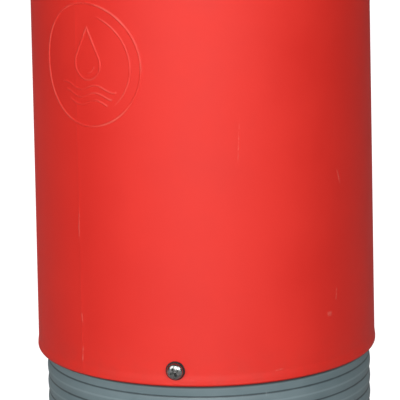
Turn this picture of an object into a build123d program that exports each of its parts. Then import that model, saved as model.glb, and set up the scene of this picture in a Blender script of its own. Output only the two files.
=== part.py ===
from build123d import *
import math
import os

# Water filled barrier: a round grey ballast tank with a ribbed foot, covered by a red sleeve that hangs on
# the tank's shoulder, under a screwed top cap with a service lid, a lamp socket and a folding carry handle.
# Millimetres, +Z up. The origin is on the floor, on the barrel's axis. The front is -Y, the drain is at +Y.

# ---- driving sizes -------------------------------------------------------------------------------------
FOOT_STANDOFF = 3.0          # floor to the underside of the tank
BASE_HEIGHT = 210.0          # floor to the sleeve's lower rim
SLEEVE_HEIGHT = 720.0        # lower rim to the top of the sleeve's flange
SLEEVE_RADIUS = 170.0        # outside of the sleeve at its lower rim
SLEEVE_WALL = 4.5
SLEEVE_DRAFT = 0.4           # degrees that each side leans inwards
RIM_BEAD = 0.7               # how far the rim's bead stands proud
RIM_BEAD_HEIGHT = 5.0
RIM_BEAD_RUNOUT = 2.4        # height over which the bead dies into the wall
RIM_BEAD_TAPER = 0.8         # share of the bead left at its upper edge
RIM_CHAMFER = 0.9
SLEEVE_FLANGE = 5.0          # thickness of the flange that hangs on the tank
FLANGE_WIDTH = 37.0          # from the sleeve's outside in to the flange's opening

RIM_GAP = 2.0                # inside of the sleeve at its rim to the crests of the ribs
TANK_WALL = 5.0
TANK_GAP = 4.0               # tank to the inside of the sleeve, above the ribs
RIB_PITCH = 16.8
RIB_DEPTH = 1.2              # crest to the bottom of the groove
RIB_CREST = 3.0              # width of the rounded crest
RIB_CROWN = 0.3              # how far the crest bulges beyond the ends of its arc
RIB_COUNT = 11
SEAT_RISE = 5.6              # top groove up to the plain seat under the sleeve
TANK_EDGE = 8.0              # width of the bevel round the underside
FIRST_GROOVE_DROP = 11.3     # sleeve rim down to the middle of the first groove

NECK_BORE = 26.0             # radius
NECK_WALL = 5.0
NECK_HEIGHT = 18.0
FILLER_CAP_WALL = 4.7
FILLER_CAP_HEIGHT = 23.0
FILLER_GASKET = 2.6
GRIP_FLUTES = 14
FLUTE_RADIUS = 2.5
FLUTE_OFFSET = 0.75          # flutes' centres outside the cap's edge
FILLER_ROUNDING = 2.0
FILLER_GRIP_INSET = 10.8     # cap's edge to the end of its grip bar
FILLER_GRIP_HEIGHT = 2.0

CAP_WALL = 4.0
CAP_HEIGHT = 45.0            # sleeve flange up to the cap's top face
CAP_SKIRT = 18.0             # how far the cap's skirt reaches down the sleeve
CAP_ROUNDING = 18.0
CAP_SCREW_COUNT = 4
CAP_SCREW_INSET = 29.0       # from the sleeve's outside to the screws' circle
PILLAR_RADIUS = 10.0
PILLAR_SEAT = 6.0            # thickness under each screw head

WELL_GAP = 10.0              # filler cap to the edge of the opening over it
WELL_LAND = 22.0             # well to the edge of the cap's flat top
COAMING_WALL = 3.4
COAMING_HEIGHT = 3.0
LID_WALL = 4.0
LID_SKIRT_WALL = 2.8
LID_ROUNDING = 2.0
LID_GASKET_WIDTH = 4.4
LID_GASKET = 1.9
HINGE_PIN_RADIUS = 2.5
HINGE_KNUCKLE_RADIUS = 5.0
HINGE_KNUCKLE_LENGTH = 40.0
HINGE_LUG_LENGTH = 9.0
HINGE_OFFSET = 7.0           # lid's edge to the hinge axis
KNUCKLE_ROOT = 5.6           # how far the knuckle's arm reaches over the lid
PIN_END = 2.0
PIN_HEAD = 1.5               # radial, head over pin

LATCH_INSET = 15.0           # knob's axis in from the edge of the opening
LATCH_SHAFT_RADIUS = 4.0
LATCH_KNOB_RADIUS = 12.0
LATCH_KNOB_HEIGHT = 6.0
LATCH_GRIP_HEIGHT = 7.0
LATCH_GRIP_WIDTH = 5.0
LATCH_GRIP_INSET = 1.8
KNOB_ROUNDING = 1.5
CAM_LENGTH = 22.0
CAM_WIDTH = 10.0
CAM_THICKNESS = 3.0
CAM_EYE = 1.5                # radial, round the shaft beyond the cam's half width
LATCH_SCREW_RADIUS = 2.0
LATCH_SCREW_HEAD = 5.0       # wider than the shaft, so that it holds the cam on
LATCH_SCREW_HEAD_HEIGHT = 2.0
LATCH_SCREW_LENGTH = 10.0

SOCKET_BORE = 17.25          # radius, for a 34 mm post or lamp spigot
SOCKET_DEPTH = 45.0
SOCKET_WALL = 3.1
SOCKET_FLANGE = 24.0
SOCKET_Y = 72.0

HANDLE_PIVOT_Y = 30.0
HANDLE_ROD = 5.0             # radius
HANDLE_LEG_X = 72.0
HANDLE_END_X = 98.0
HANDLE_BEND = 10.0
HANDLE_EDGE = 16.0           # grip's axis to the edge of the cap's flat top
GRIP_RADIUS = 11.0
GRIP_LENGTH = 100.0
GRIP_ROUNDING = 3.0
BRACKET_WIDTH = 10.0
BRACKET_X = 89.0
BRACKET_BASE = 4.0
BRACKET_LENGTH = 54.0
BRACKET_SCREW_SPACING = 38.0
BRACKET_EYE = 5.0            # radial, round the rod

BAND_HEIGHT = 90.0
BAND_THICKNESS = 0.7
BAND_RECESS = 0.9
BAND_GAP = 0.2               # ends of the recess to the band
BAND_DROPS = (250.0, 130.0)  # sleeve's top down to the lower edge of each band

EMBLEM_AZIMUTH = -30.0       # degrees round from the front
EMBLEM_DROP = 410.0          # sleeve's top down to the middle of the mark
EMBLEM_RADIUS = 60.5
EMBLEM_LINE = 2.0
EMBLEM_RELIEF = 0.6
DROP_LENGTH = 37.5
DROP_BULB = 0.34             # shares of the drop's length: bulb's radius
DROP_SETBACK = 0.16          # bulb's centre under the mark's centre
DROP_TIP = 0.66              # tip above the bulb's centre

SLEEVE_SCREW_ANGLES = (-90.0, 90.0)
SLEEVE_SCREW_HEIGHT = 17.0   # above the sleeve's rim
SLEEVE_SCREW_RADIUS = 4.0
SLEEVE_SCREW_HEAD = 8.0
SLEEVE_SCREW_HEAD_HEIGHT = 5.0
SLEEVE_SCREW_LENGTH = 24.0
SLEEVE_WASHER_RADIUS = 9.4
SLEEVE_WASHER = 1.4
INSERT_RADIUS = 7.0
INSERT_LIP = 3.0
INSERT_DEPTH = 20.0
INSERT_BOSS = 13.0

CAP_SCREW_RADIUS = 3.0
CAP_SCREW_HEAD = 5.2
CAP_SCREW_HEAD_HEIGHT = 4.0
CAP_SCREW_LENGTH = 24.0
CAP_INSERT_RADIUS = 5.0
CAP_INSERT_DEPTH = 16.0

BRACKET_SCREW_RADIUS = 2.5
BRACKET_SCREW_HEAD = 4.6
BRACKET_SCREW_HEAD_HEIGHT = 3.0
BRACKET_SCREW_LENGTH = 16.0
BRACKET_BOSS_WALL = 3.5

HEAD_ROUNDING = 0.45         # shares of a screw head's height and radius
RECESS_FLOOR = 0.5
RECESS_LENGTH = 1.1
RECESS_WIDTH = 0.22

DRAIN_HEIGHT = 45.0          # floor to the drain's axis
DRAIN_BOSS = 30.0
DRAIN_BOSS_DEPTH = 28.0
DRAIN_POCKET = 25.0
DRAIN_RECESS = 16.0          # how far the drain's seat lies behind the ribs
DRAIN_BORE = 12.0
DRAIN_BUSH_WALL = 3.0
DRAIN_BUSH_FLANGE = 19.0
DRAIN_BUSH_FLANGE_HEIGHT = 3.0
DRAIN_HEAD = 17.0
DRAIN_HEAD_HEIGHT = 5.0
DRAIN_PLUG_SETBACK = 4.0     # inner end of the boss to the plug's tip
DRAIN_KEY = 12.0             # across the flats of the square key
DRAIN_KEY_HEIGHT = 4.0
DRAIN_WASHER = 2.4

FOOT_COUNT = 6
FOOT_RADIUS = 18.0
FOOT_INSET = 37.0            # crests of the ribs in to the circle of the feet
FOOT_POCKET = 5.0
FOOT_CHAMFER = 1.0

# ---- fits ----------------------------------------------------------------------------------------------
RUNNING_FIT = 0.05           # radial, a turning shaft in its hole
PRESS_FIT = 0.02             # radial, a fixed piece in its hole
SCREW_HOLE = 0.4             # radial, a screw through a plain hole
MOVING_GAP = 0.3             # two pieces that move past each other
FIXED_GAP = 0.5              # a cover over what it covers
SKIRT_GAP = 2.0              # filler cap's skirt above the tank's shoulder
HINGE_LIFT = 1.0             # knuckle above the cap's top face
SKIRT_LIFT = 1.0             # lid's skirt above the cap's top face
REST_GAP = 0.1               # either side of a seal that is not pressed
OVERRUN = 1.0                # a cut past the face that it opens, or a joined piece into its neighbour
CUTTER_REACH = 5.0           # a cutter beyond a curved outside

# ---- levels and places that follow ---------------------------------------------------------------------
rim_z = BASE_HEIGHT
tank_radius = SLEEVE_RADIUS - SLEEVE_WALL - RIM_GAP
foot_circle = tank_radius - FOOT_INSET
flange_top = rim_z + SLEEVE_HEIGHT
shoulder_z = flange_top - SLEEVE_FLANGE
cap_top = flange_top + CAP_HEIGHT
cap_ceiling = cap_top - CAP_WALL
draft_slope = math.tan(math.radians(SLEEVE_DRAFT))


def sleeve_outer(z):
    """Radius of the sleeve's plain outside at a height above the floor."""
    return SLEEVE_RADIUS - (z - rim_z) * draft_slope


def sleeve_inner(z):
    return sleeve_outer(z) - SLEEVE_WALL


def tank_outer(z):
    """Radius of the tank's plain outside inside the sleeve."""
    return sleeve_inner(z) - TANK_GAP


top_radius = sleeve_outer(flange_top)
cap_inner = sleeve_outer(flange_top - CAP_SKIRT) + FIXED_GAP
cap_outer = cap_inner + CAP_WALL
flat_radius = cap_outer - CAP_ROUNDING
cap_screw_circle = top_radius - CAP_SCREW_INSET

neck_outer = NECK_BORE + NECK_WALL
filler_cap_radius = neck_outer + MOVING_GAP + FILLER_CAP_WALL
well_radius = filler_cap_radius + WELL_GAP
filler_y = -(flat_radius - WELL_LAND - well_radius)
neck_top = shoulder_z + NECK_HEIGHT
filler_base = shoulder_z + SKIRT_GAP

coaming_outer = well_radius + COAMING_WALL
coaming_top = cap_top + COAMING_HEIGHT
lid_skirt_inner = coaming_outer + FIXED_GAP
lid_radius = lid_skirt_inner + LID_SKIRT_WALL
lid_base = coaming_top + MOVING_GAP + LID_GASKET
lid_top = lid_base + LID_WALL
hinge_y = filler_y + lid_radius + HINGE_OFFSET
hinge_z = cap_top + HINGE_KNUCKLE_RADIUS + HINGE_LIFT
latch_y = filler_y - (well_radius - LATCH_INSET)
cam_top = cap_ceiling - MOVING_GAP
shaft_bottom = cam_top - CAM_THICKNESS

pivot_z = cap_top + GRIP_RADIUS + MOVING_GAP
grip_y = math.sqrt(flat_radius ** 2 - HANDLE_LEG_X ** 2) - HANDLE_EDGE

seat_y = tank_radius - DRAIN_RECESS
sleeve_screw_z = rim_z + SLEEVE_SCREW_HEIGHT
emblem_z = flange_top - EMBLEM_DROP


# ---- helpers -------------------------------------------------------------------------------------------
def disc(radius, low, high, x=0.0, y=0.0):
    """A plain round bar along Z between two heights."""
    return Pos(x, y, (low + high) / 2) * Cylinder(radius, high - low)


def tube(outer, inner, low, high, x=0.0, y=0.0):
    return disc(outer, low, high, x, y) - disc(inner, low - OVERRUN, high + OVERRUN, x, y)


def block(x_span, y_span, z_span):
    """A box from its two ends along each axis."""
    size = [high - low for low, high in (x_span, y_span, z_span)]
    middle = [(high + low) / 2 for low, high in (x_span, y_span, z_span)]
    return Pos(*middle) * Box(*size)


def turned(points):
    """A solid of revolution about Z from (radius, z) points."""
    return revolve(Plane.XZ * make_face(Polyline(*points, close=True)), Axis.Z)


def bar_along_y(radius, near, far, z):
    return Pos(0, (near + far) / 2, z) * Rot(90, 0, 0) * Cylinder(radius, far - near)


def bar_along_x(radius, near, far, y, z):
    return Pos((near + far) / 2, y, z) * Rot(0, 90, 0) * Cylinder(radius, far - near)


def outward(solid, angle, z):
    """Stands a solid drawn along +Z, from the barrel's axis, out along a direction in plan."""
    return Pos(0, 0, z) * Rot(0, 0, angle) * Rot(0, 90, 0) * solid


def cap_screw_places():
    step = 360.0 / CAP_SCREW_COUNT
    for index in range(CAP_SCREW_COUNT):
        angle = math.radians(step * (index + 0.5))
        yield cap_screw_circle * math.cos(angle), cap_screw_circle * math.sin(angle)


def bracket_screw_places():
    for side in (-1, 1):
        for end in (-1, 1):
            yield side * BRACKET_X, HANDLE_PIVOT_Y + end * BRACKET_SCREW_SPACING / 2


def pan_head_screw(radius, head_radius, head_height, length):
    """A screw along +Z: its shank below zero, its rounded head above, with a cross recess."""
    head = disc(head_radius, 0, head_height)
    head = fillet(head.edges().group_by(Axis.Z)[-1], head_height * HEAD_ROUNDING)
    screw = head + disc(radius, -length, head_height * RECESS_FLOOR / 2)
    slot_length = head_radius * RECESS_LENGTH
    slot_width = head_radius * RECESS_WIDTH
    slot_z = (head_height * RECESS_FLOOR, head_height + OVERRUN)
    screw -= block((-slot_length / 2, slot_length / 2), (-slot_width / 2, slot_width / 2), slot_z)
    screw -= block((-slot_width / 2, slot_width / 2), (-slot_length / 2, slot_length / 2), slot_z)
    return screw


# ---- tank ----------------------------------------------------------------------------------------------
def rib_profile():
    """Outline of the ribbed foot, from the lowest groove up: straight flanks and rounded crests."""
    first_groove = rim_z - FIRST_GROOVE_DROP
    root = tank_radius - RIB_DEPTH
    edge = tank_radius - RIB_CROWN
    edges = []
    for index in reversed(range(RIB_COUNT)):
        top = first_groove - index * RIB_PITCH
        bottom = top - RIB_PITCH
        middle = (top + bottom) / 2
        crest_low, crest_high = middle - RIB_CREST / 2, middle + RIB_CREST / 2
        edges.append(Line((root, bottom), (edge, crest_low)))
        edges.append(ThreePointArc((edge, crest_low), (tank_radius, middle), (edge, crest_high)))
        edges.append(Line((edge, crest_high), (root, top)))
    return edges


def tank_shell():
    """The tank's walls, without its bosses and holes."""
    ribs_top = rim_z - FIRST_GROOVE_DROP
    ribs_bottom = ribs_top - RIB_COUNT * RIB_PITCH
    root = tank_radius - RIB_DEPTH
    seat_radius = tank_radius - RIB_CROWN
    seat_bottom = ribs_top + SEAT_RISE
    seat_top = sleeve_screw_z + INSERT_BOSS + TANK_GAP
    step_top = seat_top + TANK_GAP
    edge = TANK_EDGE
    outline = [Line((0, FOOT_STANDOFF), (root - edge, FOOT_STANDOFF))]
    outline += [Line((root - edge, FOOT_STANDOFF), (root, ribs_bottom))]
    outline += rib_profile()
    outline += [Line((root, ribs_top), (seat_radius, seat_bottom))]
    outline += [Line((seat_radius, seat_bottom), (seat_radius, seat_top))]
    outline += [Line((seat_radius, seat_top), (tank_outer(step_top), step_top))]
    outline += [Line((tank_outer(step_top), step_top), (tank_outer(shoulder_z), shoulder_z))]
    outline += [Line((tank_outer(shoulder_z), shoulder_z), (0, shoulder_z))]
    outline += [Line((0, shoulder_z), (0, FOOT_STANDOFF))]
    body = revolve(Plane.XZ * make_face(outline), Axis.Z)
    low = FOOT_STANDOFF + TANK_WALL
    high = shoulder_z - TANK_WALL
    lower_inner = root - TANK_WALL
    cavity = turned([
        (0, low),
        (lower_inner - edge, low),
        (lower_inner, low + edge),
        (lower_inner, seat_top),
        (tank_outer(step_top) - TANK_WALL, step_top),
        (tank_outer(high) - TANK_WALL, high),
        (0, high),
    ])
    return body - cavity


def ballast_tank():
    tank = tank_shell()
    low = FOOT_STANDOFF + TANK_WALL
    reach = tank_radius - RIB_DEPTH - TANK_WALL / 2
    for index in range(FOOT_COUNT):
        angle = math.radians(index * 360.0 / FOOT_COUNT)
        x, y = foot_circle * math.cos(angle), foot_circle * math.sin(angle)
        tank += disc(FOOT_RADIUS + TANK_WALL, low - OVERRUN, FOOT_STANDOFF + FOOT_POCKET + TANK_WALL, x, y)
        tank -= disc(FOOT_RADIUS + PRESS_FIT, 0, FOOT_STANDOFF + FOOT_POCKET, x, y)
    for x, y in cap_screw_places():
        tank += disc(PILLAR_RADIUS, shoulder_z - CAP_INSERT_DEPTH - TANK_WALL * 2, shoulder_z - OVERRUN, x, y)
        tank -= disc(CAP_INSERT_RADIUS + PRESS_FIT, shoulder_z - CAP_INSERT_DEPTH, shoulder_z + OVERRUN, x, y)
        tank -= disc(CAP_SCREW_RADIUS + SCREW_HOLE, shoulder_z - CAP_SCREW_LENGTH, shoulder_z, x, y)
    boss_foot = tank_radius - RIB_CROWN - INSERT_DEPTH - TANK_WALL * 2
    for angle in SLEEVE_SCREW_ANGLES:
        tank += outward(disc(INSERT_BOSS, boss_foot, reach), angle, sleeve_screw_z)
        hole_end = tank_radius - RIB_CROWN - INSERT_DEPTH
        hole = disc(INSERT_RADIUS + PRESS_FIT, hole_end, tank_radius + CUTTER_REACH)
        tank -= outward(hole, angle, sleeve_screw_z)
        tip = disc(SLEEVE_SCREW_RADIUS + SCREW_HOLE, boss_foot + TANK_WALL, tank_radius)
        tank -= outward(tip, angle, sleeve_screw_z)
    tank += bar_along_y(DRAIN_BOSS, seat_y - DRAIN_BOSS_DEPTH, reach, DRAIN_HEIGHT)
    tank -= bar_along_y(DRAIN_POCKET, seat_y, tank_radius + CUTTER_REACH, DRAIN_HEIGHT)
    bush_hole = DRAIN_BORE + DRAIN_BUSH_WALL + PRESS_FIT
    tank -= bar_along_y(bush_hole, seat_y - DRAIN_BOSS_DEPTH - CUTTER_REACH, seat_y + OVERRUN, DRAIN_HEIGHT)
    tank += disc(neck_outer, shoulder_z - TANK_WALL, neck_top, y=filler_y)
    tank -= disc(NECK_BORE, shoulder_z - TANK_WALL - OVERRUN, neck_top + OVERRUN, y=filler_y)
    return tank


def rubber_feet():
    pads = []
    for index in range(FOOT_COUNT):
        angle = math.radians(index * 360.0 / FOOT_COUNT)
        pad = disc(FOOT_RADIUS, 0, FOOT_STANDOFF + FOOT_POCKET)
        pad = chamfer(pad.edges().group_by(Axis.Z)[0], FOOT_CHAMFER)
        pads.append(Pos(foot_circle * math.cos(angle), foot_circle * math.sin(angle), 0) * pad)
    return Compound(pads)


# ---- sleeve --------------------------------------------------------------------------------------------
def emblem():
    """The moulded mark: a ring round a plain water drop, standing proud of the sleeve's outside."""
    ring = Circle(EMBLEM_RADIUS) - Circle(EMBLEM_RADIUS - EMBLEM_LINE)
    mark = ring + drop_outline(DROP_LENGTH) - drop_outline(DROP_LENGTH - EMBLEM_LINE)
    reach = SLEEVE_RADIUS - EMBLEM_RADIUS
    upright = Rot(0, 0, 90) * mark
    beam = Pos(0, 0, reach) * extrude(upright, SLEEVE_RADIUS)
    beam = outward(beam, EMBLEM_AZIMUTH - 90, emblem_z)
    low = emblem_z - EMBLEM_RADIUS - CUTTER_REACH
    high = emblem_z + EMBLEM_RADIUS + CUTTER_REACH
    sunk = SLEEVE_WALL / 2
    skin = turned([
        (sleeve_outer(low) - sunk, low),
        (sleeve_outer(low) + EMBLEM_RELIEF, low),
        (sleeve_outer(high) + EMBLEM_RELIEF, high),
        (sleeve_outer(high) - sunk, high),
    ])
    return beam & skin


def drop_outline(length):
    """A water drop with its point up, about the origin."""
    bulb = length * DROP_BULB
    centre = -length * DROP_SETBACK
    tip = centre + length * DROP_TIP
    touch = math.acos(bulb / (tip - centre))
    side_x = bulb * math.sin(touch)
    side_y = centre + bulb * math.cos(touch)
    right = Line((0, tip), (side_x, side_y))
    round_end = ThreePointArc((side_x, side_y), (0, centre - bulb), (-side_x, side_y))
    left = Line((-side_x, side_y), (0, tip))
    return make_face([right, round_end, left])


def outer_sleeve():
    bead_top = rim_z + RIM_BEAD_HEIGHT
    rounding = SLEEVE_WALL
    opening = top_radius - FLANGE_WIDTH
    outline = [
        (sleeve_inner(rim_z), rim_z),
        (sleeve_outer(rim_z) + RIM_BEAD - RIM_CHAMFER, rim_z),
        (sleeve_outer(rim_z) + RIM_BEAD, rim_z + RIM_CHAMFER),
        (sleeve_outer(bead_top) + RIM_BEAD * RIM_BEAD_TAPER, bead_top),
        (sleeve_outer(bead_top + RIM_BEAD_RUNOUT), bead_top + RIM_BEAD_RUNOUT),
    ]
    for drop in sorted(BAND_DROPS, reverse=True):
        low = flange_top - drop - BAND_GAP
        high = flange_top - drop + BAND_HEIGHT + BAND_GAP
        outline += [
            (sleeve_outer(low), low),
            (sleeve_outer(low) - BAND_RECESS, low),
            (sleeve_outer(high) - BAND_RECESS, high),
            (sleeve_outer(high), high),
        ]
    outline += [
        (sleeve_outer(flange_top - rounding), flange_top - rounding),
        (top_radius - rounding, flange_top),
        (opening, flange_top),
        (opening, shoulder_z),
        (sleeve_inner(shoulder_z), shoulder_z),
    ]
    sleeve = turned(outline) + emblem()
    for angle in SLEEVE_SCREW_ANGLES:
        hole = disc(SLEEVE_SCREW_RADIUS + SCREW_HOLE, tank_radius, SLEEVE_RADIUS + CUTTER_REACH)
        sleeve -= outward(hole, angle, sleeve_screw_z)
    for x, y in cap_screw_places():
        sleeve -= disc(CAP_SCREW_RADIUS + SCREW_HOLE, shoulder_z - OVERRUN, flange_top + OVERRUN, x, y)
    return sleeve


def reflective_band(drop):
    low = flange_top - drop
    high = low + BAND_HEIGHT
    seat = BAND_RECESS - PRESS_FIT
    return turned([
        (sleeve_outer(low) - seat, low),
        (sleeve_outer(low) - seat + BAND_THICKNESS, low),
        (sleeve_outer(high) - seat + BAND_THICKNESS, high),
        (sleeve_outer(high) - seat, high),
    ])


def screw_seat():
    """Distance from the axis to the washers' inner face: just clear of the sleeve's curved outside."""
    return sleeve_outer(sleeve_screw_z - SLEEVE_WASHER_RADIUS) + PRESS_FIT


def sleeve_inserts():
    head_seat = tank_radius - RIB_CROWN
    inserts = []
    for angle in SLEEVE_SCREW_ANGLES:
        body = disc(INSERT_RADIUS, head_seat - INSERT_DEPTH, head_seat)
        reach = sleeve_inner(sleeve_screw_z + INSERT_BOSS) - FIXED_GAP / 2 - RIM_BEAD
        flange = disc(INSERT_RADIUS + INSERT_LIP, head_seat, reach)
        bore = disc(SLEEVE_SCREW_RADIUS + RUNNING_FIT, head_seat - INSERT_DEPTH - OVERRUN, reach + OVERRUN)
        inserts.append(outward(body + flange - bore, angle, sleeve_screw_z))
    return Compound(inserts)


def sleeve_washers():
    washers = []
    for angle in SLEEVE_SCREW_ANGLES:
        ring = tube(SLEEVE_WASHER_RADIUS, SLEEVE_SCREW_RADIUS + RUNNING_FIT, screw_seat(),
                    screw_seat() + SLEEVE_WASHER)
        washers.append(outward(ring, angle, sleeve_screw_z))
    return Compound(washers)


def sleeve_screws():
    screw = pan_head_screw(SLEEVE_SCREW_RADIUS, SLEEVE_SCREW_HEAD, SLEEVE_SCREW_HEAD_HEIGHT,
                           SLEEVE_SCREW_LENGTH)
    seat = screw_seat() + SLEEVE_WASHER
    return Compound([outward(Pos(0, 0, seat) * screw, angle, sleeve_screw_z)
                     for angle in SLEEVE_SCREW_ANGLES])


# ---- top cap -------------------------------------------------------------------------------------------
def cap_shell():
    low = flange_top - CAP_SKIRT
    outer = disc(cap_outer, low, cap_top)
    outer = fillet(outer.edges().group_by(Axis.Z)[-1], CAP_ROUNDING)
    inner = disc(cap_inner, low - OVERRUN, cap_ceiling)
    inner = fillet(inner.edges().group_by(Axis.Z)[-1], CAP_ROUNDING - CAP_WALL)
    return outer - inner


def top_cap():
    cap = cap_shell()
    cap += disc(coaming_outer, cap_ceiling, coaming_top, y=filler_y)
    cap -= disc(well_radius, cap_ceiling - OVERRUN, coaming_top + OVERRUN, y=filler_y)
    for x, y in cap_screw_places():
        cap += disc(PILLAR_RADIUS, flange_top, cap_ceiling + OVERRUN, x, y)
        cap -= disc(CAP_SCREW_HEAD + SCREW_HOLE, flange_top + PILLAR_SEAT, cap_top + OVERRUN, x, y)
        cap -= disc(CAP_SCREW_RADIUS + SCREW_HOLE, flange_top - OVERRUN, cap_top, x, y)
    cap -= disc(SOCKET_BORE + SOCKET_WALL + PRESS_FIT, cap_ceiling - OVERRUN, cap_top + OVERRUN, y=SOCKET_Y)
    for x, y in bracket_screw_places():
        depth = BRACKET_SCREW_LENGTH + CAP_WALL
        cap += disc(BRACKET_SCREW_RADIUS + BRACKET_BOSS_WALL, cap_top - depth, cap_ceiling + OVERRUN, x, y)
        cap -= disc(BRACKET_SCREW_RADIUS + PRESS_FIT, cap_top - BRACKET_SCREW_LENGTH, cap_top + OVERRUN, x, y)
    for side in (-1, 1):
        near = HINGE_KNUCKLE_LENGTH / 2 + MOVING_GAP
        span = sorted((side * near, side * (near + HINGE_LUG_LENGTH)))
        lug = bar_along_x(HINGE_KNUCKLE_RADIUS, span[0], span[1], hinge_y, hinge_z)
        foot = (hinge_y - HINGE_KNUCKLE_RADIUS, hinge_y + HINGE_KNUCKLE_RADIUS)
        lug += block(span, foot, (cap_top - OVERRUN, hinge_z))
        pin_hole = HINGE_PIN_RADIUS + PRESS_FIT
        lug -= bar_along_x(pin_hole, span[0] - OVERRUN, span[1] + OVERRUN, hinge_y, hinge_z)
        cap += lug
    return cap


def lid_hinge_pin():
    half = HINGE_KNUCKLE_LENGTH / 2 + MOVING_GAP + HINGE_LUG_LENGTH
    pin = bar_along_x(HINGE_PIN_RADIUS, -half - PIN_END, half + PIN_END, hinge_y, hinge_z)
    return pin + bar_along_x(HINGE_PIN_RADIUS + PIN_HEAD, half, half + PIN_END, hinge_y, hinge_z)


def top_cap_inserts():
    inserts = [tube(CAP_INSERT_RADIUS, CAP_SCREW_RADIUS + RUNNING_FIT, shoulder_z - CAP_INSERT_DEPTH,
                    shoulder_z, x, y) for x, y in cap_screw_places()]
    return Compound(inserts)


def top_cap_screws():
    screw = pan_head_screw(CAP_SCREW_RADIUS, CAP_SCREW_HEAD, CAP_SCREW_HEAD_HEIGHT, CAP_SCREW_LENGTH)
    seat = flange_top + PILLAR_SEAT
    return Compound([Pos(x, y, seat) * screw for x, y in cap_screw_places()])


def lamp_socket():
    bottom = cap_top + SOCKET_WALL - SOCKET_DEPTH
    socket = disc(SOCKET_BORE + SOCKET_WALL, bottom - SOCKET_WALL, cap_top, y=SOCKET_Y)
    socket += disc(SOCKET_FLANGE, cap_top, cap_top + SOCKET_WALL, y=SOCKET_Y)
    return socket - disc(SOCKET_BORE, bottom, cap_top + SOCKET_WALL + OVERRUN, y=SOCKET_Y)


# ---- service lid and its latch -------------------------------------------------------------------------
def service_lid():
    lid = disc(lid_radius, lid_base, lid_top, y=filler_y)
    lid = fillet(lid.edges().group_by(Axis.Z)[-1], LID_ROUNDING)
    lid += tube(lid_radius, lid_skirt_inner, cap_top + SKIRT_LIFT, lid_base, y=filler_y)
    half = HINGE_KNUCKLE_LENGTH / 2
    knuckle = bar_along_x(HINGE_KNUCKLE_RADIUS, -half, half, hinge_y, hinge_z)
    knuckle += block((-half, half), (hinge_y - HINGE_OFFSET - KNUCKLE_ROOT, hinge_y), (lid_base, lid_top))
    knuckle -= bar_along_x(HINGE_PIN_RADIUS + RUNNING_FIT, -half - OVERRUN, half + OVERRUN, hinge_y, hinge_z)
    lid += knuckle
    lid -= bar_along_x(HINGE_PIN_RADIUS + RUNNING_FIT, -half - OVERRUN, half + OVERRUN, hinge_y, hinge_z)
    return lid - disc(LATCH_SHAFT_RADIUS + RUNNING_FIT, lid_base - OVERRUN, lid_top + OVERRUN, y=latch_y)


def lid_gasket():
    outer = coaming_outer
    return tube(outer, outer - LID_GASKET_WIDTH, lid_base - LID_GASKET, lid_base, y=filler_y)


def latch_knob():
    low = lid_top + MOVING_GAP
    knob = disc(LATCH_KNOB_RADIUS, low, low + LATCH_KNOB_HEIGHT)
    knob = fillet(knob.edges().group_by(Axis.Z)[-1], KNOB_ROUNDING)
    half = LATCH_GRIP_WIDTH / 2
    reach = LATCH_KNOB_RADIUS - LATCH_GRIP_INSET
    grip_top = low + LATCH_KNOB_HEIGHT + LATCH_GRIP_HEIGHT
    knob += block((-reach, reach), (-half, half), (low + OVERRUN, grip_top))
    knob += disc(LATCH_SHAFT_RADIUS, shaft_bottom, low + OVERRUN)
    knob -= disc(LATCH_SCREW_RADIUS, shaft_bottom - OVERRUN, shaft_bottom + LATCH_SCREW_LENGTH + OVERRUN)
    return Pos(0, latch_y, 0) * knob


def latch_cam():
    half = CAM_WIDTH / 2
    cam = block((0, CAM_LENGTH), (-half, half), (cam_top - CAM_THICKNESS, cam_top))
    cam += disc(half + CAM_EYE, cam_top - CAM_THICKNESS, cam_top)
    cam -= disc(LATCH_SHAFT_RADIUS + PRESS_FIT, cam_top - CAM_THICKNESS - OVERRUN, cam_top + OVERRUN)
    return Pos(0, latch_y, 0) * cam


def latch_screw():
    radius = LATCH_SCREW_RADIUS - PRESS_FIT
    screw = pan_head_screw(radius, LATCH_SCREW_HEAD, LATCH_SCREW_HEAD_HEIGHT, LATCH_SCREW_LENGTH)
    return Pos(0, latch_y, cam_top - CAM_THICKNESS) * Rot(180, 0, 0) * screw


# ---- filler cap ----------------------------------------------------------------------------------------
def filler_gasket():
    outer = neck_outer - MOVING_GAP
    low = neck_top + REST_GAP
    return tube(outer, NECK_BORE + FIXED_GAP, low, low + FILLER_GASKET, y=filler_y)


def filler_cap():
    top = filler_base + FILLER_CAP_HEIGHT
    ceiling = neck_top + FILLER_GASKET + MOVING_GAP
    cap = disc(filler_cap_radius, filler_base, top)
    cap = fillet(cap.edges().group_by(Axis.Z)[-1], FILLER_ROUNDING)
    for index in range(GRIP_FLUTES):
        angle = math.radians(index * 360.0 / GRIP_FLUTES)
        place = filler_cap_radius + FLUTE_OFFSET
        x, y = place * math.cos(angle), place * math.sin(angle)
        cap -= disc(FLUTE_RADIUS, filler_base - OVERRUN, top + OVERRUN, x, y)
    cap -= disc(neck_outer + MOVING_GAP, filler_base - OVERRUN, ceiling)
    half = LATCH_GRIP_WIDTH / 2
    reach = filler_cap_radius - FILLER_GRIP_INSET
    cap += block((-reach, reach), (-half, half), (top - OVERRUN, top + FILLER_GRIP_HEIGHT))
    return Pos(0, filler_y, 0) * cap


# ---- drain ---------------------------------------------------------------------------------------------
def drain_bush():
    body = bar_along_y(DRAIN_BORE + DRAIN_BUSH_WALL, seat_y - DRAIN_BOSS_DEPTH, seat_y, DRAIN_HEIGHT)
    flange_far = seat_y + DRAIN_BUSH_FLANGE_HEIGHT
    body += bar_along_y(DRAIN_BUSH_FLANGE, seat_y, flange_far, DRAIN_HEIGHT)
    near = seat_y - DRAIN_BOSS_DEPTH
    return body - bar_along_y(DRAIN_BORE, near - OVERRUN, flange_far + OVERRUN, DRAIN_HEIGHT)


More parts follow.
